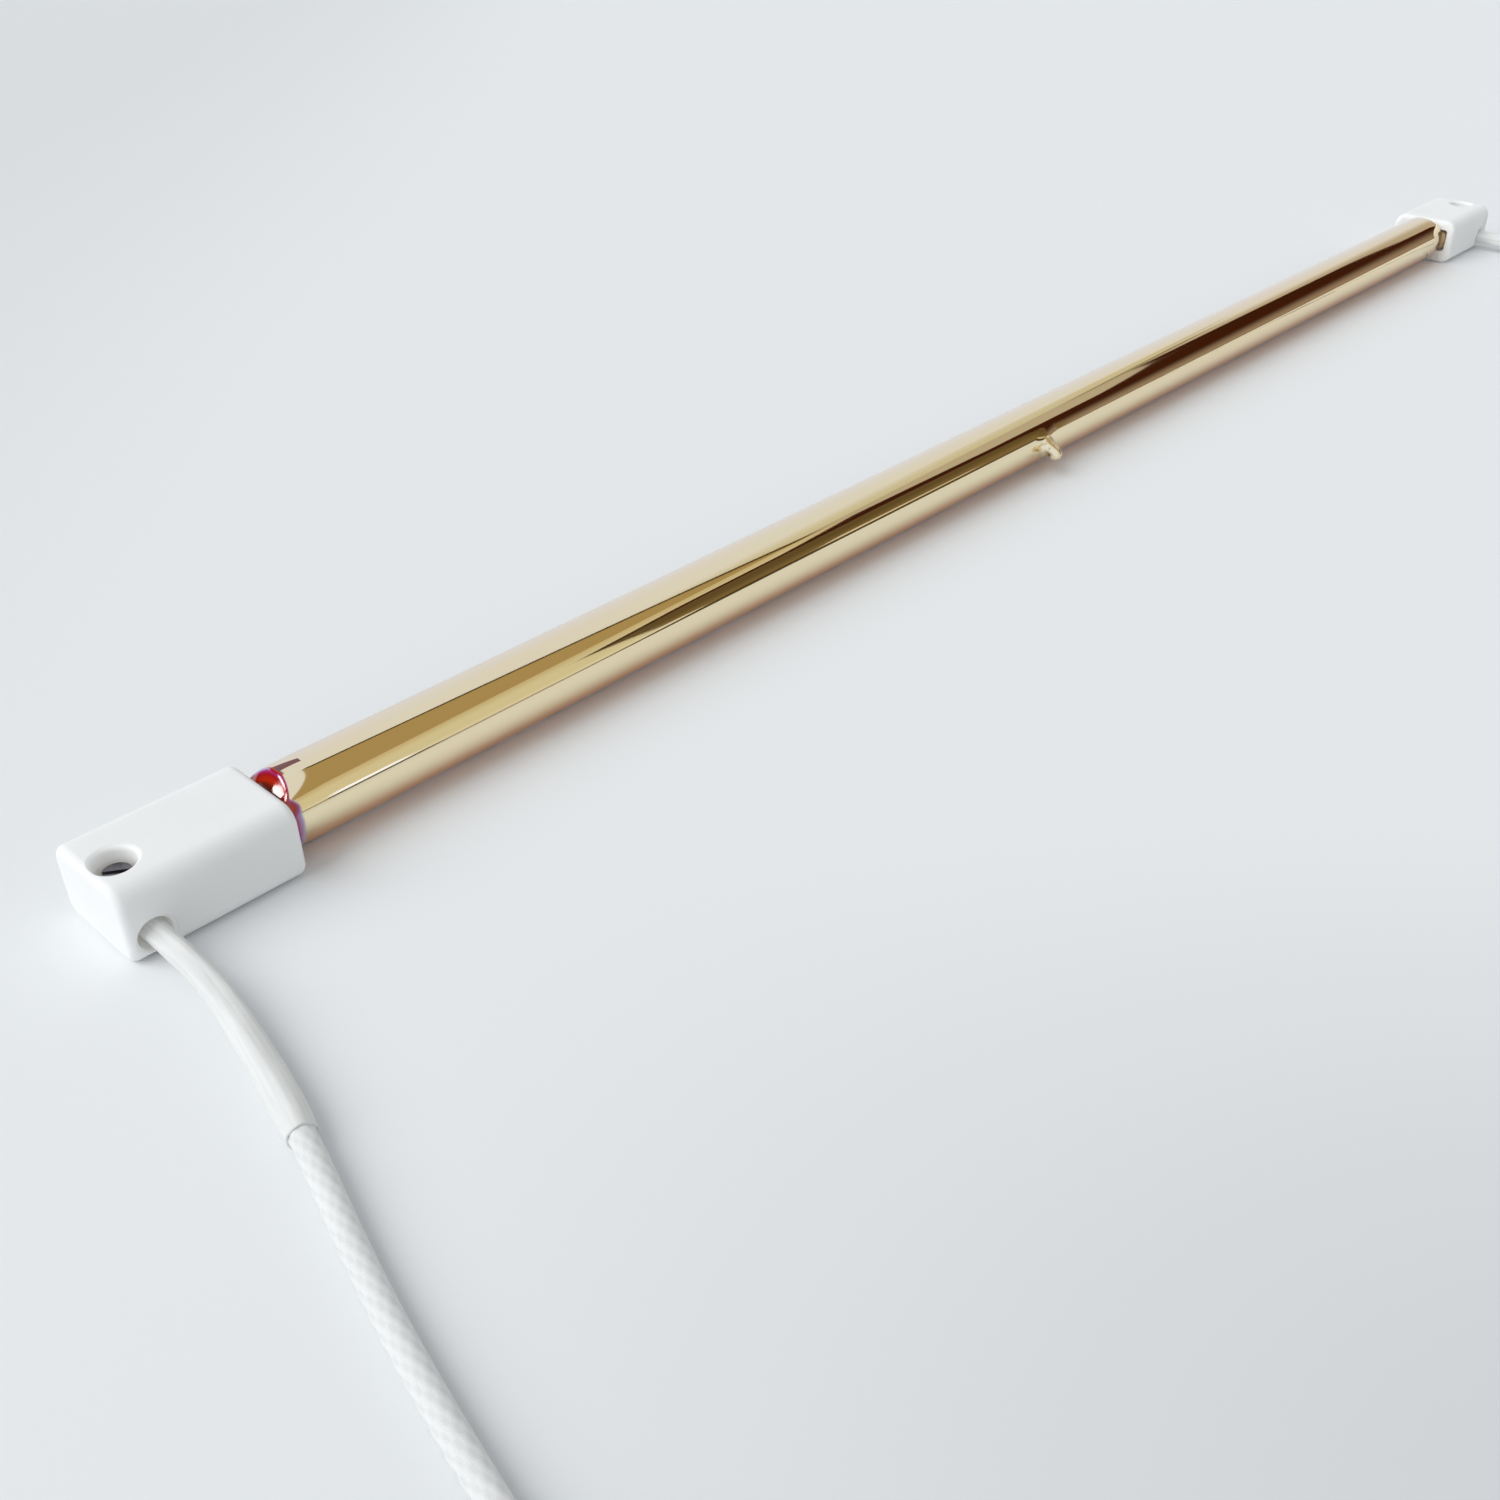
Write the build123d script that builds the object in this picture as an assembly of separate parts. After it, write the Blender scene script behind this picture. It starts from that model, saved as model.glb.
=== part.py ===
"""Gold-coated quartz infrared heating tube with ceramic end caps and fibreglass leads.

Millimetres. +X runs along the tube from the near cap to the far cap, +Z is up, and both leads leave
towards -Y. The origin is under the middle of the tube, on the surface that the two caps rest on.
"""
from build123d import *
import math
import os

# Quartz tube and its press seals
TUBE_OD = 10.5
TUBE_WALL = 1.0
PINCH_WIDTH = 11.0
PINCH_THICK = 3.6
PINCH_CORNER = 0.9
PINCH_IN_CAP = 11.0  # length of flat seal inside the cap
PINCH_INSET = 0.5  # start of the flat seal behind the cap's inner face
PANEL_WIDTH = 6.4  # pressed panel on each flat, between the two side beads
PANEL_DEPTH = 0.45
SHOULDER_LENGTH = 2.7  # round tube to flat seal
SHOULDER_STEP = 0.05  # clearance of the press where it leaves the round tube
BORE_NOSE_LENGTH = 1.9  # how far the bore runs into the shoulder
BORE_NOSE_WIDTH = 5.4
BORE_NOSE_THICK = 1.3

# Tip-off pip
TIP_X = -8.5
TIP_TILT = -6.0  # degrees above the horizontal, towards -Y
TIP_ROOT = 0.8  # depth of the pip's root in the wall
TIP_ROOT_RADIUS = 2.2
TIP_RINGS = (  # step along the pip, radius, and degrees that it has drooped by there
    (0.8, 1.95, 0.0),
    (0.7, 1.5, 5.0),
    (0.7, 1.3, 16.0),
    (0.7, 1.35, 32.0),
    (0.6, 1.15, 48.0),
    (0.4, 0.6, 60.0),
)

# Filament, its legs, foils and pins
COIL_OD = 2.6
HEATED_LENGTH = 286.0
COLD_END = 21.4  # from the coil's end to the cap's inner face
LEG_DIAMETER = 0.6
FOIL_WIDTH = 3.0
FOIL_THICK = 0.1
FOIL_LENGTH = 7.6
FOIL_INSET = 1.8  # from the start of the flat seal
PIN_DIAMETER = 0.9
SUPPORT_COUNT = 7
SUPPORT_WIRE = 0.5
SUPPORT_CLEARANCE = 0.05

# Ceramic end caps
CAP_LENGTH = 22.3
CAP_WIDTH = 15.0
CAP_HEIGHT = 10.0
CAP_TOP_EDGE = 2.6
CAP_BOTTOM_EDGE = 2.0
CAP_END_EDGE = 1.0
SEAT_RISE = 0.4  # tube axis above the middle of the cap
SLOT_SIDE_GAP = 0.4
SLOT_FACE_GAP = 0.75
SLOT_END_GAP = 0.4
SLOT_CORNER = 0.8
CEMENT_RECESS = 2.0
HOLE_FLARE = 0.5  # how far the mouths of the well and the lead hole open out
HOLE_FLARE_DEPTH = 0.6
FLARE_LIP = 0.4  # slope of the flare where it meets the face

# Terminal well, post and screw
WELL_INSET = 3.3  # centre of the well from the cap's outer end
WELL_SHIFT = 1.0  # centre of the well from the tube's line, towards the lead
WELL_DIAMETER = 5.0
WELL_FLOOR = 1.2
POST_CLEARANCE = 0.15
POST_TOP = 7.1
POST_CHAMFER = 0.3
PIN_HOLE_GAP = 0.3
PIN_BRAZE_DEPTH = 0.9
SCREW_DIAMETER = 2.0
SCREW_HEAD_DIAMETER = 3.4
SCREW_HEAD_HEIGHT = 1.2
SCREW_SLOT_WIDTH = 0.6
SCREW_SLOT_DEPTH = 0.6
SCREW_TURN = 35.0  # of the slot, from the tube's line

# Leads
LEAD_DIAMETER = 2.8
LEAD_HOLE_DIAMETER = 4.2
LEAD_HEIGHT = 3.0  # centre of the lead hole above the rest surface
CORE_DIAMETER = 1.2
CORE_REACH = 1.5  # past the middle of the post
CORE_GAP = 0.05  # to the cut end of the jacket
JACKET_GAP = 0.9  # from the well's wall to the cut end of the jacket
SLEEVE_OD = 3.5
SLEEVE_CLEARANCE = 0.1
SLEEVE_IN_HOLE = 2.9
ARC_SHARE = 0.45  # share of the shorter run that a bend may take

# Put-away coil of each lead, its tie and the ring terminal
COIL_RADIUS = 15.0  # middle of the turns
COIL_SECTION = 3.2
COIL_LAYERS = 2
TIE_WIDTH = 2.6
TIE_THICK = 0.6
TIE_CLEARANCE = 0.1
BARREL_OD = 3.4
BARREL_LENGTH = 6.0
CRIMP_FLAT = 0.35
TONGUE_THICK = 0.8
TONGUE_NECK = 3.0
TONGUE_WIDTH = 4.8
RING_OD = 8.0
RING_HOLE = 4.3
RING_REACH = 12.5  # from the barrel's face to the centre of the ring's hole

# Worked out from the sizes above
AXIS_Z = CAP_HEIGHT / 2 + SEAT_RISE
TUBE_R = TUBE_OD / 2
BORE_R = TUBE_R - TUBE_WALL
CAP_FACE_X = HEATED_LENGTH / 2 + COLD_END
PINCH_START_X = CAP_FACE_X + PINCH_INSET
PINCH_END_X = CAP_FACE_X + PINCH_IN_CAP
SHOULDER_X = PINCH_START_X - SHOULDER_LENGTH
FOIL_START_X = PINCH_START_X + FOIL_INSET
FOIL_END_X = FOIL_START_X + FOIL_LENGTH
CAP_END_X = CAP_FACE_X + CAP_LENGTH
WELL_X = CAP_END_X - WELL_INSET
WELL_Y = -WELL_SHIFT
WELL_R = WELL_DIAMETER / 2
POST_R = WELL_R - POST_CLEARANCE
SLOT_WIDTH = PINCH_WIDTH + 2 * SLOT_SIDE_GAP
SLOT_THICK = PINCH_THICK + 2 * SLOT_FACE_GAP
SLOT_END_X = PINCH_END_X + SLOT_END_GAP
SCREW_TIP_Z = LEAD_HEIGHT + CORE_DIAMETER / 2
POST_FACE_X = WELL_X - math.sqrt(POST_R ** 2 - WELL_SHIFT ** 2)  # where the pin meets the post
PIN_END_X = POST_FACE_X + PIN_BRAZE_DEPTH
LEAD_R = LEAD_DIAMETER / 2
JACKET_START_Y = WELL_Y - WELL_R - JACKET_GAP
SLEEVE_START_Y = -CAP_WIDTH / 2 + SLEEVE_IN_HOLE
COIL_HEIGHT = COIL_LAYERS * LEAD_DIAMETER
COIL_BASE_Z = TIE_THICK + TIE_CLEARANCE
COIL_LOW_Z = COIL_BASE_Z + LEAD_R
COIL_TOP_Z = COIL_LOW_Z + (COIL_LAYERS - 1) * LEAD_DIAMETER
BARREL_R = BARREL_OD / 2

NEAR = -1
FAR = 1
SIDES = {"near": NEAR, "far": FAR}

# Lead routes, from the cut end of the jacket to where each lead runs into its coil
ROUTES = {
    "near": [
        (-WELL_X, JACKET_START_Y, LEAD_HEIGHT),
        (-WELL_X + 0.45, -12.5, 2.95),
        (-WELL_X - 0.15, -20.5, 2.65),
        (-WELL_X - 1.6, -29.0, 2.3),
        (-WELL_X - 3.55, -38.0, 2.0),
        (-WELL_X - 6.0, -47.3, 1.8),
        (-WELL_X - 8.85, -57.0, 1.5),
        (-WELL_X - 11.55, -67.5, 1.45),
        (-WELL_X - 13.9, -78.5, 1.5),
        (-WELL_X - 16.0, -89.5, 1.75),
        (-WELL_X - 17.8, -100.0, COIL_LOW_Z),
    ],
    "far": [
        (WELL_X, JACKET_START_Y, LEAD_HEIGHT),
        (WELL_X - 0.45, -12.5, 2.95),
        (WELL_X, -20.5, 2.65),
        (WELL_X + 0.8, -29.0, 2.3),
        (WELL_X + 1.4, -38.0, 2.0),
        (WELL_X + 1.7, -47.3, 1.8),
        (WELL_X + 1.7, -57.0, 1.6),
        (WELL_X + 1.3, -67.0, 1.75),
        (WELL_X + 0.5, -77.0, COIL_LOW_Z),
    ],
}
SLEEVED_RUNS = 4  # whole runs of the route inside the sleeve, which ends half way along the next
TAIL_LENGTHS = {"near": (7.0, 14.0, 20.0), "far": (10.0, 20.0, 29.0)}
TAIL_DROPS = (0.3, 1.0, 1.0)  # share of the fall from the coil's top turn to the rest surface
TAIL_SWAYS = (0.2, 1.0, 2.4)
COIL_TURNS = 1.5
TIE_ANGLE = 250.0  # about the coil, from +X


def along_x(x: float) -> Plane:
    """Give the plane across the tube at x, with its own x along +Y and its y along +Z."""
    return Plane(origin=(x, 0, AXIS_Z), x_dir=(0, 1, 0), z_dir=(1, 0, 0))


def rod_x(radius: float, x_start: float, x_end: float) -> Part:
    """Make a round rod along X, centred on the tube axis, between two places."""
    section = along_x(min(x_start, x_end)) * Circle(radius)
    return extrude(section, amount=abs(x_end - x_start))


def bar_x(width: float, thick: float, x_start: float, x_end: float, corner: float = 0.0) -> Part:
    """Make a flat bar along X, centred on the tube axis, with optional rounded corners."""
    shape = RectangleRounded(width, thick, corner) if corner else Rectangle(width, thick)
    section = along_x(min(x_start, x_end)) * shape
    return extrude(section, amount=abs(x_end - x_start))


def press_seal(side: int) -> Part:
    """Make one flattened tube end: the round tube cut down by the press, and the flat with its panels."""
    spread = loft([
        along_x(side * SHOULDER_X) * Circle(TUBE_R),
        along_x(side * PINCH_START_X) * Ellipse(PINCH_WIDTH / 2, TUBE_R),
    ])
    round_half = TUBE_R + SHOULDER_STEP
    flat_half = PINCH_THICK / 2
    jaws = Plane.XZ * Polygon(
        (side * SHOULDER_X, AXIS_Z + round_half), (side * PINCH_START_X, AXIS_Z + flat_half),
        (side * PINCH_START_X, AXIS_Z - flat_half), (side * SHOULDER_X, AXIS_Z - round_half), align=None)
    shoulder = spread & extrude(jaws, amount=PINCH_WIDTH, both=True)
    flat = bar_x(PINCH_WIDTH, PINCH_THICK, side * PINCH_START_X, side * PINCH_END_X, PINCH_CORNER)
    panel_start = side * FOIL_START_X
    outer = bar_x(PANEL_WIDTH, PINCH_THICK, panel_start, side * PINCH_END_X)
    web = bar_x(PANEL_WIDTH, PINCH_THICK - 2 * PANEL_DEPTH, panel_start, side * PINCH_END_X)
    return shoulder + (flat - (outer - web))


def bore_nose(side: int) -> Part:
    """Make the hollow that narrows from the bore into the shoulder."""
    end_x = SHOULDER_X + BORE_NOSE_LENGTH
    return loft([
        along_x(side * SHOULDER_X) * Circle(BORE_R),
        along_x(side * end_x) * Ellipse(BORE_NOSE_WIDTH / 2, BORE_NOSE_THICK / 2),
    ])


def tip_off() -> Part:
    """Make the pip left where the exhaust tube was melted off: a stub with a drooping head."""
    out, drop = TUBE_R - TIP_ROOT, 0.0
    rings = [Plane(origin=(0, -out, 0), x_dir=(1, 0, 0), z_dir=(0, -1, 0)) * Circle(TIP_ROOT_RADIUS)]
    for step, radius, droop in TIP_RINGS:
        lean_out = math.cos(math.radians(droop))
        lean_down = math.sin(math.radians(droop))
        out += step * lean_out
        drop += step * lean_down
        ring = Plane(origin=(0, -out, -drop), x_dir=(1, 0, 0), z_dir=(0, -lean_out, -lean_down))
        rings.append(ring * Circle(radius))
    return Location((TIP_X, 0, AXIS_Z)) * Rotation(X=-TIP_TILT) * loft(rings)


def filament_leg(side: int) -> Part:
    """Make the straight wire from the coil's end to the foil."""
    return rod_x(LEG_DIAMETER / 2, side * HEATED_LENGTH / 2, side * FOIL_START_X)


def seal_foil(side: int) -> Part:
    """Make the thin foil sealed in the flat."""
    return bar_x(FOIL_WIDTH, FOIL_THICK, side * FOIL_START_X, side * FOIL_END_X)


def outer_pin(side: int) -> Part:
    """Make the pin from the foil to the terminal post."""
    return rod_x(PIN_DIAMETER / 2, side * FOIL_END_X, side * PIN_END_X)


def quartz_tube() -> Part:
    """Make the hollow tube with both press seals, closed round the legs, foils and pins."""
    tube = rod_x(TUBE_R, -SHOULDER_X, SHOULDER_X) + tip_off()
    hollow = rod_x(BORE_R, -SHOULDER_X, SHOULDER_X)
    for side in SIDES.values():
        tube += press_seal(side)
        hollow += bore_nose(side)
    tube -= hollow
    for side in SIDES.values():
        tube -= filament_leg(side)
        tube -= seal_foil(side)
        tube -= outer_pin(side)
    return tube


def filament() -> Part:
    """Make the outer shape of the close-wound heating coil."""
    return rod_x(COIL_OD / 2, -HEATED_LENGTH / 2, HEATED_LENGTH / 2)


def filament_support(index: int) -> Part:
    """Make one support: a wire ring in the bore, a spoke, and a ring round the coil."""
    pitch = HEATED_LENGTH / SUPPORT_COUNT
    x = (index - (SUPPORT_COUNT - 1) / 2) * pitch
    outer_r = BORE_R - SUPPORT_CLEARANCE
    outer_ring = Circle(outer_r) - Circle(outer_r - SUPPORT_WIRE)
    inner_r = COIL_OD / 2 + SUPPORT_WIRE
    inner_ring = Circle(inner_r) - Circle(COIL_OD / 2)
    spoke_middle = (outer_r + COIL_OD / 2) / 2
    spoke_length = outer_r - COIL_OD / 2 - SUPPORT_WIRE
    turn = Rotation(Z=index * 360 / SUPPORT_COUNT)
    spoke = turn * Location((spoke_middle, 0)) * Rectangle(spoke_length, SUPPORT_WIRE)
    flat = along_x(x - SUPPORT_WIRE / 2) * (outer_ring + inner_ring + spoke)
    return extrude(flat, amount=SUPPORT_WIRE)


def slot_space(side: int, x_start: float) -> Part:
    """Make the space of the cap's slot, from x_start to its blind end."""
    return bar_x(SLOT_WIDTH, SLOT_THICK, side * x_start, side * SLOT_END_X, SLOT_CORNER)


def flared_hole(radius: float, depth: float) -> Part:
    """Make the space of a round hole that goes down from z = 0, with its mouth flared open."""
    mouth = radius + HOLE_FLARE
    with BuildSketch(Plane.XZ) as profile:
        with BuildLine():
            Polyline((0, HOLE_FLARE_DEPTH), (0, -depth), (radius, -depth), (radius, -HOLE_FLARE_DEPTH))
            Spline((radius, -HOLE_FLARE_DEPTH), (mouth, 0), tangents=((0, 1), (1, FLARE_LIP)))
            Polyline((mouth, 0), (mouth, HOLE_FLARE_DEPTH), (0, HOLE_FLARE_DEPTH))
        make_face()
    return revolve(profile.sketch, axis=Axis.Z)


def end_cap(side: int) -> Part:
    """Make one ceramic block: slot for the press seal, pin hole, terminal well and lead hole."""
    middle_x = side * (CAP_FACE_X + CAP_LENGTH / 2)
    cap = Location((middle_x, 0, CAP_HEIGHT / 2)) * Box(CAP_LENGTH, CAP_WIDTH, CAP_HEIGHT)
    cap = fillet(cap.edges().filter_by(Axis.X).group_by(Axis.Z)[-1], CAP_TOP_EDGE)
    cap = fillet(cap.edges().filter_by(Axis.X).group_by(Axis.Z)[0], CAP_BOTTOM_EDGE)
    end_faces = cap.faces().filter_by(Axis.X)
    cap = fillet(end_faces.edges(), CAP_END_EDGE)
    cap -= Location((side * WELL_X, WELL_Y, CAP_HEIGHT)) * flared_hole(WELL_R, CAP_HEIGHT - WELL_FLOOR)
    lead_mouth = Plane(origin=(side * WELL_X, -CAP_WIDTH / 2, LEAD_HEIGHT), z_dir=(0, -1, 0))
    cap -= lead_mouth * flared_hole(LEAD_HOLE_DIAMETER / 2, CAP_WIDTH / 2 + WELL_Y)
    cap -= slot_space(side, CAP_FACE_X)
    return cap - rod_x(PIN_DIAMETER / 2 + PIN_HOLE_GAP, side * SLOT_END_X, side * WELL_X)


def cap_cement(side: int) -> Part:
    """Make the cement that fills the slot round the press seal, set back from the slot's mouth."""
    cement = slot_space(side, CAP_FACE_X + CEMENT_RECESS)
    return cement - press_seal(side) - outer_pin(side)


def terminal_screw(side: int) -> Part:
    """Make the slotted screw that clamps the conductor in the post."""
    shank_length = POST_TOP - SCREW_TIP_Z
    head_z = POST_TOP + SCREW_HEAD_HEIGHT / 2
    head = Location((0, 0, head_z)) * Cylinder(SCREW_HEAD_DIAMETER / 2, SCREW_HEAD_HEIGHT)
    slot_z = POST_TOP + SCREW_HEAD_HEIGHT - SCREW_SLOT_DEPTH / 2
    slot = Location((0, 0, slot_z)) * Box(SCREW_HEAD_DIAMETER, SCREW_SLOT_WIDTH, SCREW_SLOT_DEPTH)
    shank = Location((0, 0, SCREW_TIP_Z + shank_length / 2)) * Cylinder(SCREW_DIAMETER / 2, shank_length)
    return Location((side * WELL_X, WELL_Y, 0)) * Rotation(Z=side * SCREW_TURN) * (head - slot + shank)


def lead_core(side: int) -> Part:
    """Make the stripped end of the conductor, from the jacket into the post."""
    start_y = JACKET_START_Y + CORE_GAP
    start = Plane(origin=(side * WELL_X, start_y, LEAD_HEIGHT), z_dir=(0, 1, 0))
    return extrude(start * Circle(CORE_DIAMETER / 2), amount=WELL_Y + CORE_REACH - start_y)


def terminal_post(side: int) -> Part:
    """Make the post that stands in the well, bored for the screw, the conductor and the pin."""
    height = POST_TOP - WELL_FLOOR
    post = Location((side * WELL_X, WELL_Y, WELL_FLOOR + height / 2)) * Cylinder(POST_R, height)
    post = chamfer(post.edges().group_by(Axis.Z)[-1], POST_CHAMFER)
    tapped_depth = POST_TOP - LEAD_HEIGHT
    tapped_hole = Cylinder(SCREW_DIAMETER / 2, tapped_depth)
    post -= Location((side * WELL_X, WELL_Y, POST_TOP - tapped_depth / 2)) * tapped_hole
    return post - lead_core(side) - outer_pin(side)


def bend_radii(points: list) -> list:
    """Work out the largest bend at each inner point of a route that its two runs leave room for."""
    radii = []
    for before, here, after in zip(points, points[1:], points[2:]):
        run_in = Vector(*here) - Vector(*before)
        run_out = Vector(*after) - Vector(*here)
        half_turn = math.radians(run_in.get_angle(run_out)) / 2
        radii.append(ARC_SHARE * min(run_in.length, run_out.length) / math.tan(half_turn))
    return radii


def tube_along(points: list, radii: list, section: Sketch) -> Part:
    """Sweep a round section along straight runs joined by tangent arcs."""
    path = FilletPolyline(*points, radius=radii)
    return sweep(Plane(origin=path @ 0, z_dir=path % 0) * section, path=path)


def coil_centre(name: str) -> tuple:
    """Give the centre of a lead's coil, to the right of the lead's last run."""
    (x0, y0, _), (x1, y1, _) = ROUTES[name][-2:]
    run = math.hypot(x1 - x0, y1 - y0)
    return x1 + (y1 - y0) / run * COIL_RADIUS, y1 - (x1 - x0) / run * COIL_RADIUS


def coil_entry_angle(name: str) -> float:
    """Give the angle about the coil, from +X in degrees, where the lead runs into it."""
    centre_x, centre_y = coil_centre(name)
    end_x, end_y, _ = ROUTES[name][-1]
    return math.degrees(math.atan2(end_y - centre_y, end_x - centre_x))


def lead_coil(name: str) -> Part:
    """Make the outer shape of the turns, one closed ring."""
    section = Plane.XZ * Location((COIL_RADIUS, COIL_BASE_Z + COIL_HEIGHT / 2)) * RectangleRounded(
        COIL_SECTION, COIL_HEIGHT, LEAD_R)
    return Location((*coil_centre(name), 0)) * revolve(section, axis=Axis.Z)


def coil_tie(name: str) -> Part:
    """Make the flat band round the turns."""
    inner_width = COIL_SECTION + 2 * TIE_CLEARANCE
    inner_height = COIL_HEIGHT + 2 * TIE_CLEARANCE
    outer = RectangleRounded(inner_width + 2 * TIE_THICK, inner_height + 2 * TIE_THICK, LEAD_R + TIE_THICK)
    band = outer - RectangleRounded(inner_width, inner_height, LEAD_R)
    middle = (COIL_RADIUS, TIE_WIDTH / 2, COIL_BASE_Z + COIL_HEIGHT / 2)
    tie = extrude(Plane(origin=middle, x_dir=(1, 0, 0), z_dir=(0, -1, 0)) * band, amount=TIE_WIDTH)
    return Location((*coil_centre(name), 0)) * Rotation(Z=TIE_ANGLE) * tie


def lead_tube(name: str) -> Part:
    """Make the jacket from the cap to the coil."""
    points = ROUTES[name]
    return tube_along(points, bend_radii(points), Circle(LEAD_R)) - lead_coil(name)


def sleeve_tube(name: str) -> Part:
    """Make the outer sleeve over the first stretch of the lead, from inside the lead hole."""
    route = [Vector(*point) for point in ROUTES[name]]
    first_run = route[1] - route[0]
    start = route[0] + first_run * ((SLEEVE_START_Y - route[0].Y) / first_run.Y)
    end = (route[SLEEVED_RUNS] + route[SLEEVED_RUNS + 1]) / 2
    points = [start, *route[1:SLEEVED_RUNS + 1], end]
    ring = Circle(SLEEVE_OD / 2) - Circle(LEAD_R + SLEEVE_CLEARANCE)
    return tube_along(points, bend_radii(ROUTES[name])[:SLEEVED_RUNS], ring)


def tail_points(name: str) -> list:
    """Work out the last runs of a lead, from the top of its coil down to its ring terminal."""
    centre_x, centre_y = coil_centre(name)
    angle = math.radians(coil_entry_angle(name) - 360 * COIL_TURNS)
    ahead = (math.sin(angle), -math.cos(angle))
    out = (math.cos(angle), math.sin(angle))
    points = [(centre_x + COIL_RADIUS * out[0], centre_y + COIL_RADIUS * out[1], COIL_TOP_Z)]
    for length, drop, sway in zip(TAIL_LENGTHS[name], TAIL_DROPS, TAIL_SWAYS):
        points.append((
            points[0][0] + length * ahead[0] + sway * out[0],
            points[0][1] + length * ahead[1] + sway * out[1],
            COIL_TOP_Z + drop * (BARREL_R - COIL_TOP_Z),
        ))
    return points


def lead_tail(name: str) -> Part:
    """Make the jacket from the coil to the ring terminal."""
    points = tail_points(name)
    return tube_along(points, bend_radii(points), Circle(LEAD_R)) - lead_coil(name)


def ring_terminal(name: str) -> Part:
    """Make the crimped ring terminal, lying flat at the end of the lead's tail."""
    barrel = extrude(Plane.YZ * Location((0, BARREL_R)) * Circle(BARREL_R), amount=BARREL_LENGTH)
    flat_x = BARREL_LENGTH / 2
    crimp = Box(BARREL_LENGTH / 2, BARREL_OD, CRIMP_FLAT)
    barrel -= Location((flat_x, 0, BARREL_OD - CRIMP_FLAT / 2)) * crimp
    neck_end = BARREL_LENGTH + TONGUE_NECK
    neck = loft([
        Plane(origin=(BARREL_LENGTH, 0, BARREL_R), x_dir=(0, 1, 0), z_dir=(1, 0, 0)) * Circle(BARREL_R),
        Plane(origin=(neck_end, 0, TONGUE_THICK / 2), x_dir=(0, 1, 0), z_dir=(1, 0, 0))
        * Rectangle(TONGUE_WIDTH, TONGUE_THICK),
    ])
    tongue_length = RING_REACH - neck_end
    outline = Location((neck_end + tongue_length / 2, 0)) * Rectangle(tongue_length, TONGUE_WIDTH)
    outline += Location((RING_REACH, 0)) * Circle(RING_OD / 2)
    outline -= Location((RING_REACH, 0)) * Circle(RING_HOLE / 2)
    tongue = extrude(outline, amount=TONGUE_THICK)
    before, end = tail_points(name)[-2:]
    heading = math.degrees(math.atan2(end[1] - before[1], end[0] - before[0]))
    return Location((end[0], end[1], 0)) * Rotation(Z=heading) * (barrel + neck + tongue)


def build() -> dict:
    """Make every piece, keyed by its node name."""
    pieces = {"quartz_tube": quartz_tube(), "filament": filament()}
    for index in range(SUPPORT_COUNT):
        pieces[f"filament_support_{index + 1}"] = filament_support(index)
    for name, side in SIDES.items():
        pieces[f"filament_leg_{name}"] = filament_leg(side)
        pieces[f"seal_foil_{name}"] = seal_foil(side)
        pieces[f"outer_pin_{name}"] = outer_pin(side)
        pieces[f"end_cap_{name}"] = end_cap(side)
        pieces[f"cap_cement_{name}"] = cap_cement(side)
        pieces[f"terminal_post_{name}"] = terminal_post(side)
        pieces[f"terminal_screw_{name}"] = terminal_screw(side)
        pieces[f"lead_core_{name}"] = lead_core(side)
        pieces[f"lead_{name}"] = lead_tube(name)
        pieces[f"lead_sleeve_{name}"] = sleeve_tube(name)
        pieces[f"lead_coil_{name}"] = lead_coil(name)
        pieces[f"lead_tail_{name}"] = lead_tail(name)
        pieces[f"coil_tie_{name}"] = coil_tie(name)
        pieces[f"ring_terminal_{name}"] = ring_terminal(name)
    return pieces


def report_bends() -> None:
    """Print each lead's bend radii and length."""
    for name in SIDES:
        for label, points in (("route", ROUTES[name]), ("tail", tail_points(name))):
            radii = ", ".join(f"{radius:.0f}" for radius in bend_radii(points))
            length = FilletPolyline(*points, radius=bend_radii(points)).length
            print(f"{name} {label}: {length:.1f} mm long, bend radii {radii} mm")
        print(f"{name} coil: {2 * math.pi * COIL_RADIUS * COIL_TURNS:.1f} mm of lead")


os.makedirs("parts", exist_ok=True)
for node, piece in build().items():
    export_step(piece, f"parts/{node}.step")
report_bends()
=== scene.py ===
"""Looks of a quartz heating tube: gold-coated envelope, ceramic caps and braided leads, on a pale floor.

Metres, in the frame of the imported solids: +X runs along the tube, +Z is up and both leads leave towards -Y.
"""

import logging
import math
from dataclasses import dataclass
from enum import Enum
from functools import cache
from typing import Callable, Iterable, Sequence, Union

import bmesh
import bpy
from bmesh.types import BMesh, BMFace, BMLayerItem, BMVert
from bpy.types import Material, Object
from mathutils import Matrix, Vector


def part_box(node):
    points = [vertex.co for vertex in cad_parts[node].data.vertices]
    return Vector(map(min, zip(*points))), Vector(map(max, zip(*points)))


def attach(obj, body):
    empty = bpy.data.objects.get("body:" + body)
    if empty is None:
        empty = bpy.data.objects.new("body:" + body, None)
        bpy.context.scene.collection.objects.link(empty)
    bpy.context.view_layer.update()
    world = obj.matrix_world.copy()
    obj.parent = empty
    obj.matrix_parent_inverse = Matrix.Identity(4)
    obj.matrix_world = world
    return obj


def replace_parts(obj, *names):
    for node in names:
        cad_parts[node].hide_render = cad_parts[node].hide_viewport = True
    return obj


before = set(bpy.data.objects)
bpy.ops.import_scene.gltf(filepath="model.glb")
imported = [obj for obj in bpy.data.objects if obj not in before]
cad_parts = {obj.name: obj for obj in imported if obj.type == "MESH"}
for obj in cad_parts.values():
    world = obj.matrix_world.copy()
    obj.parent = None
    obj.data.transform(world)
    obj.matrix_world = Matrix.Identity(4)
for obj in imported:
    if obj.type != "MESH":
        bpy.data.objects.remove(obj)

LOG = logging.getLogger("heating_tube")
MM = 0.001
BODY = "root"
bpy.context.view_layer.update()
QUARTZ_INDEX = 1.458
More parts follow.
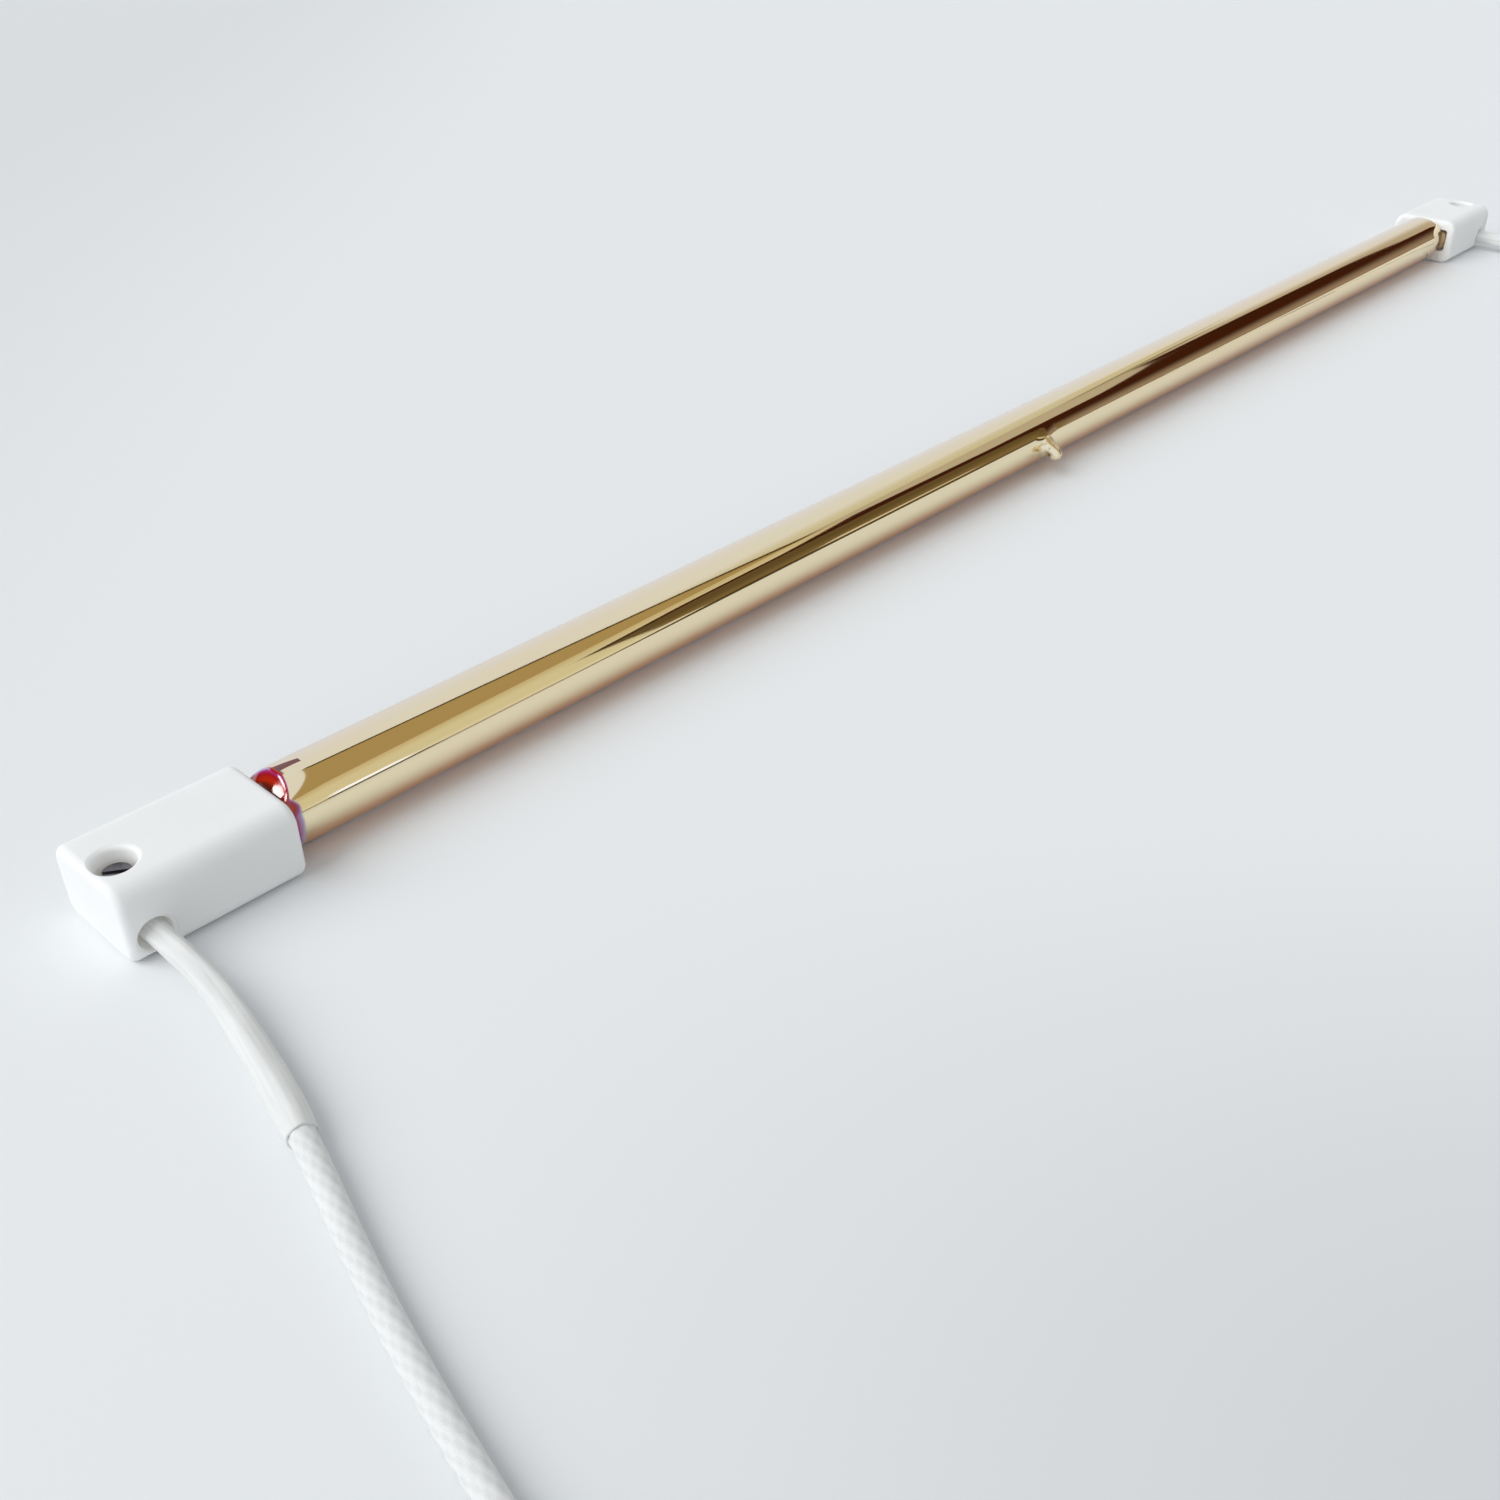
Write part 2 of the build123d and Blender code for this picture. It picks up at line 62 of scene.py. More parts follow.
HEADING = math.radians(43.300)  # of the camera, by which the room round the set is laid out

Colour = tuple[float, float, float]
Point = tuple[float, float, float]
Limits = tuple[float, float]
BLACK: Colour = (0.0, 0.0, 0.0)


class End(Enum):
    """The two ends of the tube, by the names that the solids use."""

    NEAR = "near"
    FAR = "far"

    def node(self, kind: str) -> str:
        """Give the name of this end's solid of a kind."""
        return f"{kind}_{self.value}"


def math_node(operation: str, reflected: bool = False) -> Callable[["Value", "Operand"], "Value"]:
    """Make a method that works on one or two values by a Math node.

    Args:
        operation: Blender's name of the operation.
        reflected: Whether the method's own value comes second.

    Returns:
        The method.
    """
    def method(value: "Value", other: "Operand" = 0.0) -> "Value":
        """Add the Math node and give its result."""
        first, second = (other, value) if reflected else (value, other)
        return value.graph.node("ShaderNodeMath", {"operation": operation}, {0: first, 1: second})

    return method


class Value:
    """A shader socket that Python's operators work on."""

    __add__, __radd__ = math_node("ADD"), math_node("ADD", reflected=True)
    __sub__, __rsub__ = math_node("SUBTRACT"), math_node("SUBTRACT", reflected=True)
    __mul__, __rmul__ = math_node("MULTIPLY"), math_node("MULTIPLY", reflected=True)
    __truediv__, __rtruediv__ = math_node("DIVIDE"), math_node("DIVIDE", reflected=True)
    __pow__, __rpow__ = math_node("POWER"), math_node("POWER", reflected=True)
    __abs__ = math_node("ABSOLUTE")
    least = math_node("MINIMUM")
    most = math_node("MAXIMUM")

    def __init__(self, graph: "Graph", socket: bpy.types.NodeSocket) -> None:
        """Hold an output socket of a graph."""
        self.graph = graph
        self.socket = socket

    def rise(self, low: float, high: float) -> "Value":
        """Go smoothly from 0 to 1 between two limits.

        Args:
            low: Where the rise starts.
            high: Where it ends; below low, the value falls instead.

        Returns:
            The smooth step.
        """
        if low > high:
            return 1.0 - self.rise(high, low)
        return self.graph.node("ShaderNodeMapRange", {"interpolation_type": "SMOOTHSTEP"},
                               {"Value": self, "From Min": low, "From Max": high})


Operand = Union[Value, float]
Setting = Union[str, bool, int, float, Sequence]


class Graph:
    """A node tree that is filled by expressions."""

    def __init__(self, tree: bpy.types.NodeTree) -> None:
        """Take over a node tree and empty it."""
        self.tree = tree
        self.tree.nodes.clear()

    def node(self, kind: str, settings: dict[str, Setting] | None = None,
             inputs: dict[str | int, object] | None = None, output: int = 0) -> Value:
        """Add any node, as add does, and give the output with a number."""
        return Value(self, self.add(kind, settings, inputs).outputs[output])

    def add(self, kind: str, settings: dict[str, Setting] | None = None,
            inputs: dict[str | int, object] | None = None) -> bpy.types.Node:
        """Add any node.

        Args:
            kind: The node's type.
            settings: Its settings by name; a ramp's stops are pairs of a place and a colour.
            inputs: Its sockets' values or links, by name or number.

        Returns:
            The node.
        """
        made = self.tree.nodes.new(kind)
        for name, setting in (settings or {}).items():
            if name == "stops":
                self._set_stops(made.color_ramp, setting)
            else:
                setattr(made, name, setting)
        for key, value in (inputs or {}).items():
            socket = made.inputs[key]
            if isinstance(value, Value):
                self.tree.links.new(value.socket, socket)
            elif socket.type == "RGBA":
                socket.default_value = (*value, 1.0)
            else:
                socket.default_value = value
        return made

    @staticmethod
    def _set_stops(ramp: bpy.types.ColorRamp, stops: Sequence[tuple[float, Colour]]) -> None:
        """Give a ramp its stops.

        Args:
            ramp: The ramp.
            stops: Pairs of a place and a colour, lowest first.
        """
        while len(ramp.elements) < len(stops):
            ramp.elements.new(1.0)
        for element, (place, colour) in zip(ramp.elements, stops):
            element.position = place
            element.color = (*colour, 1.0)

    def parts(self, value: Value) -> list[Value]:
        """Split a vector into its three values."""
        split = self.add("ShaderNodeSeparateXYZ", inputs={0: value})
        return [Value(self, socket) for socket in split.outputs]

    def place(self) -> Value:
        """Give the surface's place in the frame."""
        return self.node("ShaderNodeTexCoord", output=3)

    def surface(self) -> Value:
        """Give the surface's own map."""
        return self.node("ShaderNodeTexCoord", output=2)

    def stretched(self, vector: Value, scale: Point) -> Value:
        """Stretch coordinates before a pattern reads them."""
        return self.node("ShaderNodeMapping", inputs={"Vector": vector, "Scale": scale})

    def noise(self, vector: Value, scale: float, detail: float = 3.0, roughness: float = 0.5) -> Value:
        """Give a smooth random value between 0 and 1, with a number of grains to a metre and finer layers."""
        inputs = {"Vector": vector, "Scale": scale, "Detail": detail, "Roughness": roughness}
        return self.node("ShaderNodeTexNoise", inputs=inputs)

    def mix(self, factor: Operand, low: object, high: object) -> Value:
        """Mix two colours, from the low one at 0 to the high one at 1."""
        return self.node("ShaderNodeMix", {"data_type": "RGBA"}, {0: factor, 6: low, 7: high}, output=2)

    def ramp(self, value: Value, stops: Sequence[tuple[float, Colour]]) -> Value:
        """Read a colour from a ramp of stops."""
        return self.node("ShaderNodeValToRGB", {"stops": stops}, {"Fac": value})

    def bump(self, height: Value, depth: float, strength: float = 1.0) -> Value:
        """Turn a height into a normal, where a height of 1 is as many metres as the depth."""
        return self.node("ShaderNodeBump", inputs={"Height": height, "Distance": depth, "Strength": strength})

    def principled(self, **sockets: object) -> Value:
        """Add a Principled shader, with its sockets named with _ for a space."""
        inputs = {name.replace("_", " "): value for name, value in sockets.items()}
        return self.node("ShaderNodeBsdfPrincipled", inputs=inputs)

    def blend(self, factor: Operand, low: Value, high: Value) -> Value:
        """Mix two shaders."""
        return self.node("ShaderNodeMixShader", inputs={0: factor, 1: low, 2: high})


class Finish:
    """A finish, which makes its material once."""

    name: str

    def shade(self, graph: Graph) -> Value:
        """Build the finish's shader in a graph and return it."""
        raise NotImplementedError

    @cache
    def material(self) -> Material:
        """Make the finish's material, or give the one that was made.

        Returns:
            The material.
        """
        made = bpy.data.materials.new(self.name)
        made.use_nodes = True
        graph = Graph(made.node_tree)
        graph.add("ShaderNodeOutputMaterial", inputs={"Surface": self.shade(graph)})
        return made


@dataclass(frozen=True)
class GoldCoat(Finish):
    """Mirror-bright gold on drawn quartz, worn to ruby on the near press and left off a strip along a side."""

    axis_height: float
    radius: float
    cap_face: float
    tip_foot: Point  # middle of the pip's foot
    name: str = "gold_coat"
    gold: Colour = (0.88, 0.775, 0.53)
    rose_gold: Colour = (0.86, 0.70, 0.47)
    thin_gold_and_painted_floor_shade: Colour = (0.90, 0.55, 0.33)  # towards the coat's lower edge, where it thins, and painted reflection of the shaded floor under the tube
    lilac_gold: Colour = (0.86, 0.76, 0.62)  # towards its upper edge
    nicked: Colour = (0.10, 0.055, 0.02)
    rim: Colour = (0.80, 0.56, 0.66)  # quartz along the coat's edge
    quartz: Colour = (0.98, 0.985, 0.99)
    coat_middle: float = math.radians(38)  # above the horizontal, towards -Y
    coat_half_width: float = math.radians(108)
    coat_edge: float = 0.07  # width of the fade, in the cosine of the angle from the coat's middle
    coat_fray: float = 0.05  # how far the edge wanders, in the same cosine
    wander_scale: float = 420.0  # wanders to a metre
    wander_stretch: Point = (0.25, 1.0, 1.0)
    drawn_scale: float = 900.0  # drawn lines to a metre
    drawn_stretch: Point = (0.02, 1.0, 1.0)
    drawn_depth: float = 0.004 * MM
    smear_scale: float = 160.0
    smear_stretch: Point = (0.3, 1.0, 1.0)
    nick_scale: float = 120.0
    nick_stretch: Point = (0.6, 1.0, 1.0)
    polish: float = 0.035  # roughness of the clean gold
    rosy_stretch: Limits = (-20 * MM, 90 * MM)  # along the tube, where the gold turns rosier
    swelling: float = 0.5 * MM  # height of the swelling round the pip's foot
    swelling_limits: Limits = (4.2 * MM, 0.2 * MM)  # from the foot's middle
    slope_relief: float = 0.36 * MM  # swelling of the pressed slopes to a millimetre of their depth
    stain_onset: Limits = (0.012, 0.05)  # millimetres of press depth over which the stain sets in
    slope_fade: Limits = (2.7, 2.35)  # millimetres from the cap over which the stained slopes begin
    slope_tip: Limits = (2.0, 2.5)  # millimetres from the cap over which their tips darken
    collar_reach: float = 2.1  # millimetres from the near cap that are stained all round
    streak_ends: Limits = (2.4, 5.3)  # millimetres from the near cap to the dark streak's ends
    streak_half_widths: Limits = (0.72, 0.42)
    streak_middles: Limits = (0.40, -0.14)
    streak_stain: float = 0.62  # its place on the ruby stops
    stain_index: float = 1.7
    ruby: tuple[tuple[float, Colour], ...] = (
        (0.0, (0.56, 0.54, 0.58)),
        (0.06, (0.42, 0.33, 0.55)),
        (0.12, (0.42, 0.030, 0.17)),
        (0.22, (0.34, 0.008, 0.012)),
        (0.40, (0.50, 0.022, 0.004)),
        (0.54, (0.20, 0.016, 0.006)),
        (0.72, (0.055, 0.009, 0.005)),
        (1.0, (0.022, 0.006, 0.005)),
    )

    def shade(self, graph: Graph) -> Value:
        """Lay gold over ruby-stained and clear quartz.

        Args:
            graph: The material's graph.

        Returns:
            The finished shader.
        """
        place = graph.place()
        x, y, z = graph.parts(place)
        height = z - self.axis_height
        wander = graph.noise(graph.stretched(place, self.wander_stretch), self.wander_scale, 4) - 0.5
        facing = height * math.sin(self.coat_middle) - y * math.cos(self.coat_middle)
        frayed = facing / (y * y + height * height) ** 0.5 + wander * self.coat_fray
        edge = math.cos(self.coat_half_width)
        on_coated_side = frayed.rise(edge, edge + self.coat_edge)
        on_rim = frayed.rise(edge - self.coat_edge, edge)
        press_depth = graph.node("ShaderNodeAttribute", {"attribute_name": "press"}, output=2)
        stained, depth = self._stain(x, y, height, press_depth, wander)
        gold = self._gold(graph, place, on_coated_side)
        stain = graph.principled(Base_Color=graph.ramp(depth, self.ruby), Roughness=0.05, IOR=self.stain_index,
                                 Normal=graph.bump(press_depth, self.slope_relief))
        rim, clear = (graph.principled(Base_Color=colour, Roughness=roughness, IOR=QUARTZ_INDEX,
                                       Transmission_Weight=1.0)
                      for colour, roughness in ((self.rim, 0.02), (self.quartz, 0.0)))
        return graph.blend(on_coated_side, graph.blend(on_rim, clear, rim), graph.blend(stained, gold, stain))

    def _stain(self, x: Value, y: Value, height: Value, press_depth: Value,
               wander: Value) -> tuple[Value, Value]:
        """Stain the near end: its pressed slopes and a collar by the cap; and lay a dark streak.

        Args:
            x: The place along the tube.
            y: The place across it.
            height: The height over the axis.
            press_depth: Millimetres that the press took off the round tube.
            wander: A random value about 0 that frays the stain.

        Returns:
            1 where the tube is stained, and the stain's place on the ruby stops.
        """
        to_cap = (self.cap_face - abs(x)) / MM
        near = x.rise(MM, -MM)
        up = height / self.radius
        pressed = (press_depth + wander * 0.01).rise(*self.stain_onset) * to_cap.rise(*self.slope_fade)
        collar_width = near * (up.rise(0.8, 0.45) * 0.6 + 0.4) * self.collar_reach
        collar_strength = up.rise(0.25, 0.5) * 0.2 + 0.10
        collar = ((collar_width - to_cap) * collar_strength + wander * 0.06).most(0.0)
        tip_of_slope = to_cap.rise(*self.slope_tip) * pressed * 0.75
        # painted shade: the stained slopes darken on the -Y side, away from the light
        painted_shade_away_from_light = (y / self.radius).rise(-0.1, -0.6) * pressed * 0.14
        streak = self._streak(to_cap, y)
        on_slope = press_depth * 0.33 + wander * 0.1 + tip_of_slope + painted_shade_away_from_light
        depth = on_slope.most(collar).most(streak * self.streak_stain)
        return near * pressed.most(collar.rise(0.01, 0.06)).most(streak), depth

    def _streak(self, to_cap: Value, y: Value) -> Value:
        """Mark the narrow dark streak along the top of the tube.

        Args:
            to_cap: Millimetres to the cap's face.
            y: The place across the tube.

        Returns:
            1 on the streak.
        """
        start, end = self.streak_ends
        wide, narrow = self.streak_half_widths
        first, last = self.streak_middles
        share = (to_cap - start) / (end - start)
        half_width = wide - share * (wide - narrow)
        across_it = half_width - abs(y / MM - first - share * (last - first))
        return across_it.rise(0.0, 0.08) * to_cap.rise(end, end - 0.12) * to_cap.rise(start - 0.6, start)

    def _gold(self, graph: Graph, place: Value, thickness: Value) -> Value:
        """Build the gold itself, with drawn lines, smears and a few nicks.

        Args:
            graph: The material's graph.
            place: The surface's place.
            thickness: How thick the coat is, from 0 at its edge to 1.

        Returns:
            The gold shader.
        """
        x, y, z = graph.parts(place)
        smear = graph.noise(graph.stretched(place, self.smear_stretch), self.smear_scale, 4)
        drawn = graph.noise(graph.stretched(place, self.drawn_stretch), self.drawn_scale, 2)
        spots = graph.node("ShaderNodeTexVoronoi", inputs={
            "Vector": graph.stretched(place, self.nick_stretch), "Scale": self.nick_scale, "Randomness": 1.0})
        nick = spots.rise(0.035, 0.012) * graph.noise(place, 90, 1).rise(0.56, 0.66)
        tone = graph.mix(thickness.rise(1.0, 0.4) * 0.7 + smear * 0.25, self.gold, self.rose_gold)
        tone = graph.mix(x.rise(*self.rosy_stretch) * 0.6, tone, self.rose_gold)
        # painted reflection: below the axis the gold turns rosier and darker, for the shaded floor it would
        # mirror, along with the coat thinning
        tone = graph.mix(((self.axis_height - z) / self.radius).rise(0.0, 0.70), tone, self.thin_gold_and_painted_floor_shade)
        tone = graph.mix((y / self.radius).rise(-0.35, 0.45), tone, self.lilac_gold)
        colour = graph.mix(nick * 0.75, tone, self.nicked)
        roughness = self.polish + smear * self.polish + nick * 0.4
        tip_x, tip_y, tip_z = self.tip_foot
        from_tip = ((x - tip_x) ** 2 + (y - tip_y) ** 2 + (z - tip_z) ** 2) ** 0.5
        swollen = from_tip.rise(*self.swelling_limits) * (self.swelling / self.drawn_depth)
        normal = graph.bump(drawn * 0.7 + nick * -0.5 + swollen, self.drawn_depth, 0.6)
        return graph.principled(Base_Color=colour, Metallic=1.0, Roughness=roughness, Normal=normal)


@dataclass(frozen=True)
class MeltedGold(Finish):
    """The pip's coat: paler and softer than on the drawn tube, with brown in its hollows."""

    name: str = "melted_gold"
    colour: Colour = (0.93, 0.84, 0.61)
    hollow: Colour = (0.45, 0.31, 0.13)
    wave_scale: float = 650.0  # waves to a metre
    wave_depth: float = 0.12 * MM

    def shade(self, graph: Graph) -> Value:
        """Build a wavy, half-bright metal.

        Args:
            graph: The material's graph.

        Returns:
            The finished shader.
        """
        wave = graph.noise(graph.place(), self.wave_scale)
        colour = graph.mix(wave.rise(0.5, 0.75), self.colour, self.hollow)
        return graph.principled(Base_Color=colour, Metallic=1.0, Roughness=0.14 + wave * 0.2,
                                Normal=graph.bump(wave, self.wave_depth, 0.7))


@dataclass(frozen=True)
class ClearQuartz(Finish):
    """The bore's bare surface."""

    name: str = "clear_quartz"
    colour: Colour = (0.985, 0.99, 0.99)
    drawn_scale: float = 700.0  # drawn lines to a metre
    drawn_stretch: Point = (0.02, 1.0, 1.0)
    drawn_depth: float = 0.002 * MM

    def shade(self, graph: Graph) -> Value:
        """Build clear glass with faint drawn lines."""
        lines = graph.noise(graph.stretched(graph.place(), self.drawn_stretch), self.drawn_scale, 2)
        return graph.principled(Base_Color=self.colour, Roughness=0.0, IOR=QUARTZ_INDEX,
                                Transmission_Weight=1.0, Normal=graph.bump(lines, self.drawn_depth, 0.4))


@dataclass(frozen=True)
class Mineral(Finish):
    """A pressed or cast ceramic: fine matt grain, pores and faint clouding."""

    name: str
    colour: Colour
    shade_colour: Colour
    grain: float  # grains to a metre
    grain_depth: float
    roughness: float = 0.8
    glow: float = 0.3  # share of the light that goes through the surface layer
    glow_depth: float = 1.5 * MM
    cloud_scale: float = 140.0  # clouds to a metre
    pores_per_grain: float = 0.4
    porous_places: float = 0.1  # to a grain

    def shade(self, graph: Graph) -> Value:
        """Build the grain.

        Args:
            graph: The material's graph.

        Returns:
            The finished shader.
        """
        place = graph.place()
        cloud = graph.noise(place, self.cloud_scale, 3)
        grain = graph.noise(place, self.grain, 4, 0.65)
        pores = graph.node("ShaderNodeTexVoronoi", inputs={
            "Vector": place, "Scale": self.grain * self.pores_per_grain})
        porous = graph.noise(place, self.grain * self.porous_places, 1).rise(0.5, 0.62)
        pit = pores.rise(0.16, 0.05) * porous
        colour = graph.mix(cloud.rise(0.35, 0.75) * 0.5 + pit * 0.35, self.colour, self.shade_colour)
        roughness = self.roughness + (grain - 0.5) * 0.25
        normal = graph.bump(grain * 0.6 - pit * 0.8, self.grain_depth, 0.7)
        # the emission is painted light: the caps' holes glow on their walls, and it is black elsewhere
        return graph.principled(Base_Color=colour, Roughness=roughness, IOR=1.5, Normal=normal,
                                Subsurface_Weight=self.glow, Subsurface_Radius=(1.0, 1.0, 1.0),
                                Subsurface_Scale=self.glow_depth, Emission_Strength=1.0,
                                Emission_Color=self._painted_glow(graph, place))

    def _painted_glow(self, graph: Graph, place: Value) -> Union[Value, Colour]:
        """Give the painted glow on a surface: none."""
        return BLACK


@dataclass(frozen=True)
class CapCeramic(Mineral):
    """The caps' ceramic, with painted light: the walls of the terminal well and the lead hole glow a little,
    as if light came through the cap.
    """

    well: Point = (0.0, 0.0, 0.0)  # middle of the far cap's well
    well_radius: float = 2.5 * MM
    well_floor: Limits = (0.3 * MM, 0.9 * MM)  # heights over which its painted glow sets in
    hole_height: float = 3.0 * MM
    hole_radius: float = 2.1 * MM
    hole_depth: Limits = (-1.0 * MM, -3.0 * MM)  # places across the cap over which its painted glow sets in
    mouth: float = 0.45 * MM  # over which the holes' mouths open out
    # the colour of the painted glow on the holes' walls
    through: Colour = (0.09, 0.09, 0.087)

    def _painted_glow(self, graph: Graph, place: Value) -> Union[Value, Colour]:
        """Give the painted glow on the walls of the two holes.

        Args:
            graph: The material's graph.
            place: The surface's place.

        Returns:
            The glow's colour.
        """
        x, y, z = graph.parts(place)
        along = abs(x) - self.well[0]
        from_well = (along ** 2 + (y - self.well[1]) ** 2) ** 0.5
        from_hole = (along ** 2 + (z - self.hole_height) ** 2) ** 0.5
        in_well = from_well.rise(self.well_radius + self.mouth, self.well_radius) * z.rise(*self.well_floor)
        in_hole = from_hole.rise(self.hole_radius + self.mouth, self.hole_radius) * y.rise(*self.hole_depth)
        return graph.mix(in_well.most(in_hole), BLACK, self.through)


@dataclass(frozen=True)
class Metal(Finish):
    """A drawn, turned or pressed metal with fine working marks and tarnish."""

    name: str
    colour: Colour
    tarnish: Colour
    roughness: float
    marks: Point  # how the working marks are stretched
    mark_scale: float = 2600.0  # marks to a metre
    mark_depth: float = 0.01 * MM
    tarnish_scale: float = 520.0  # tarnished places to a metre

    def shade(self, graph: Graph) -> Value:
        """Build the working marks and the tarnish.

        Args:
            graph: The material's graph.

        Returns:
            The finished shader.
        """
        place = graph.place()
        marks = graph.noise(graph.stretched(place, self.marks), self.mark_scale, 2)
        dull = graph.noise(place, self.tarnish_scale, 4, 0.6).rise(0.42, 0.7)
        colour = graph.mix(dull * 0.75, self.colour, self.tarnish)
        roughness = self.roughness + dull * 0.18 + (marks - 0.5) * 0.12
        return graph.principled(Base_Color=colour, Metallic=1.0, Roughness=roughness,
                                Normal=graph.bump(marks, self.mark_depth, 0.5))


@dataclass(frozen=True)
class Fibre(Finish):
    """White glass-fibre yarn: fine filaments along the yarn, a little soiled, with painted shade in its
    hollows.
    """

    name: str
    colour: Colour
    # painted shade in the hollows, also reached by the random soil
    hollow: Colour
    filaments: Point  # how the filaments are stretched on the surface's map
    filament_depth: float = 0.03 * MM
    soil_scale: float = 210.0  # soiled places to a metre
    roughness: float = 0.62

    def shade(self, graph: Graph) -> Value:
        """Build the filaments on the piece's own map and read the yarn's relief from its attribute, which
        paints shade in the hollows.

        Args:
            graph: The material's graph.

        Returns:
            The finished shader.
        """
        relief = graph.node("ShaderNodeAttribute", {"attribute_name": "relief"}, output=2)
        filaments = graph.noise(graph.stretched(graph.surface(), self.filaments), 1.0, 3)
        soil = graph.noise(graph.place(), self.soil_scale, 3)
        # painted shade: low relief darkens the yarn towards its hollow colour, with random soil and filament
        # tone
        shaded = relief.rise(0.75, 0.0) * 0.3 + (soil - 0.5) * 0.25 + (filaments - 0.4) * 0.7
        colour = graph.mix(shaded.most(0.0).least(1.0), self.colour, self.hollow)
        roughness = self.roughness + (filaments - 0.5) * 0.3
        return graph.principled(Base_Color=colour, Roughness=roughness, IOR=1.45, Sheen_Weight=0.15,
                                Sheen_Roughness=0.5, Normal=graph.bump(filaments, self.filament_depth, 0.6))


@dataclass(frozen=True)
class Nylon(Finish):
    """The ties' white nylon."""

    name: str = "moulded_nylon"
    colour: Colour = (0.80, 0.80, 0.77)
    shaded: Colour = (0.70, 0.70, 0.66)
    grain: float = 1800.0  # grains to a metre
    grain_depth: float = 0.008 * MM
    cloud_scale: float = 300.0

    def shade(self, graph: Graph) -> Value:
        """Build a satin moulded surface.

        Args:
            graph: The material's graph.

        Returns:
            The finished shader.
        """
        grain = graph.noise(graph.place(), self.grain)
        colour = graph.mix(graph.noise(graph.place(), self.cloud_scale) * 0.3, self.colour, self.shaded)
        return graph.principled(Base_Color=colour, Roughness=0.45 + grain * 0.15,
                                Normal=graph.bump(grain, self.grain_depth, 0.5))


WELL = sum(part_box(End.FAR.node("terminal_post")), Vector()) / 2
STEATITE = CapCeramic("fired_steatite", (0.905, 0.91, 0.905), (0.88, 0.885, 0.88), 2300, 0.008 * MM,
                      well=tuple(WELL))
CEMENT = Mineral("set_cement", (0.72, 0.69, 0.62), (0.55, 0.52, 0.46), 1500, 0.06 * MM, 0.9)
TUNGSTEN = Metal("drawn_tungsten", (0.42, 0.42, 0.44), (0.16, 0.16, 0.18), 0.34, (1.0, 1.0, 1.0))
MOLYBDENUM = Metal("rolled_molybdenum", (0.62, 0.62, 0.63), (0.40, 0.40, 0.42), 0.28, (0.1, 1.0, 1.0))
BRASS = Metal("turned_brass", (0.72, 0.55, 0.25), (0.38, 0.28, 0.14), 0.32, (1.0, 1.0, 0.15))
DARK_STEEL = Metal("blackened_steel", (0.21, 0.20, 0.22), (0.07, 0.065, 0.07), 0.38, (0.3, 1.0, 1.0), 1800)
NICKEL = Metal("stranded_nickel", (0.62, 0.60, 0.55), (0.36, 0.34, 0.31), 0.32, (1.0, 0.1, 1.0))
TINNED_COPPER = Metal("pressed_tinned_copper", (0.70, 0.70, 0.69), (0.48, 0.47, 0.45), 0.30, (0.4, 1.0, 1.0))
# each yarn's second colour is painted shade in its hollows, also reached by soil
LEAD_YARN = Fibre("lead_yarn", (0.83, 0.835, 0.83), (0.58, 0.58, 0.56), (1500.0, 60.0, 1.0))
SLEEVE_YARN = Fibre("sleeve_yarn", (0.81, 0.815, 0.80), (0.52, 0.52, 0.50), (5.0, 24.0, 1.0))


def put_in_scene(name: str, data: bpy.types.ID) -> Object:
    """Put a mesh, a curve, a lamp or a camera in the scene.

    Args:
        name: The object's name.
        data: What it shows.

    Returns:
        The object.
    """
    placed = bpy.data.objects.new(name, data)
    bpy.context.scene.collection.objects.link(placed)
    return placed


def to_object(mesh: BMesh, name: str, finishes: Iterable[Finish]) -> Object:
    """Turn a bmesh into an object of the scene.

    Args:
        mesh: The shape, which is freed.
        name: The object's name.
        finishes: Its finishes, in the order of its faces' material numbers.

    Returns:
        The object.
    """
    data = bpy.data.meshes.new(name)
    mesh.to_mesh(data)
    mesh.free()
    for finish in finishes:
        data.materials.append(finish.material())
    return put_in_scene(name, data)


def finish_piece(mesh: BMesh, name: str, slot: str, *finishes: Finish) -> Object:
    """Turn a bmesh into a smooth-shaded piece that rides on the part.

    Args:
        mesh: The shape, which is freed.
        name: The piece's name.
        slot: The record's material slot; it is not used.
        finishes: Its finishes, in the order of its faces' material numbers.

    Returns:
        The piece.
    """
    piece = to_object(mesh, name, finishes)
    piece.data.shade_smooth()
    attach(piece, BODY)
    LOG.info("%s: %d faces", name, len(piece.data.polygons))
    return piece


def dress(node: str, finish: Finish) -> None:
    """Give a solid that stays as it is its finish.

    Args:
        node: The solid's name.
        finish: The finish.
    """
    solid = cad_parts[node]
    solid.data.materials.clear()
    solid.data.materials.append(finish.material())
    LOG.info("%s: dressed in %s", node, finish.name)


def part_way(value: float, low: float, high: float) -> float:
    """Give how far a value is from one limit to another, from 0 to 1."""
    return min(max((value - low) / (high - low), 0.0), 1.0)


def wrap(mesh: BMesh, rings: int, sides: int,
         put: Callable[[BMVert, int, float], None]) -> list[BMFace]:
    """Wrap a flat grid into a round skin and close its seam.

    Args:
        mesh: The mesh that it is added to.
        rings: How many rows of faces it has along its length.
        sides: How many faces it has round.
        put: Puts a point of the grid in its place, from the number of its ring and its angle.

    Returns:
        The skin's faces, which point outwards.
    """
    for face in mesh.faces:
        face.tag = True
    points = bmesh.ops.create_grid(mesh, x_segments=rings, y_segments=sides, size=1.0,
                                   calc_uvs=bool(mesh.loops.layers.uv))["verts"]
    for point in points:
        put(point, round((point.co.x + 1) / 2 * rings), (point.co.y + 1) * math.pi)
    bmesh.ops.remove_doubles(mesh, verts=points, dist=0.0005 * MM)
    skin = [face for face in mesh.faces if not face.tag]
    bmesh.ops.recalc_face_normals(mesh, faces=skin)
    return skin


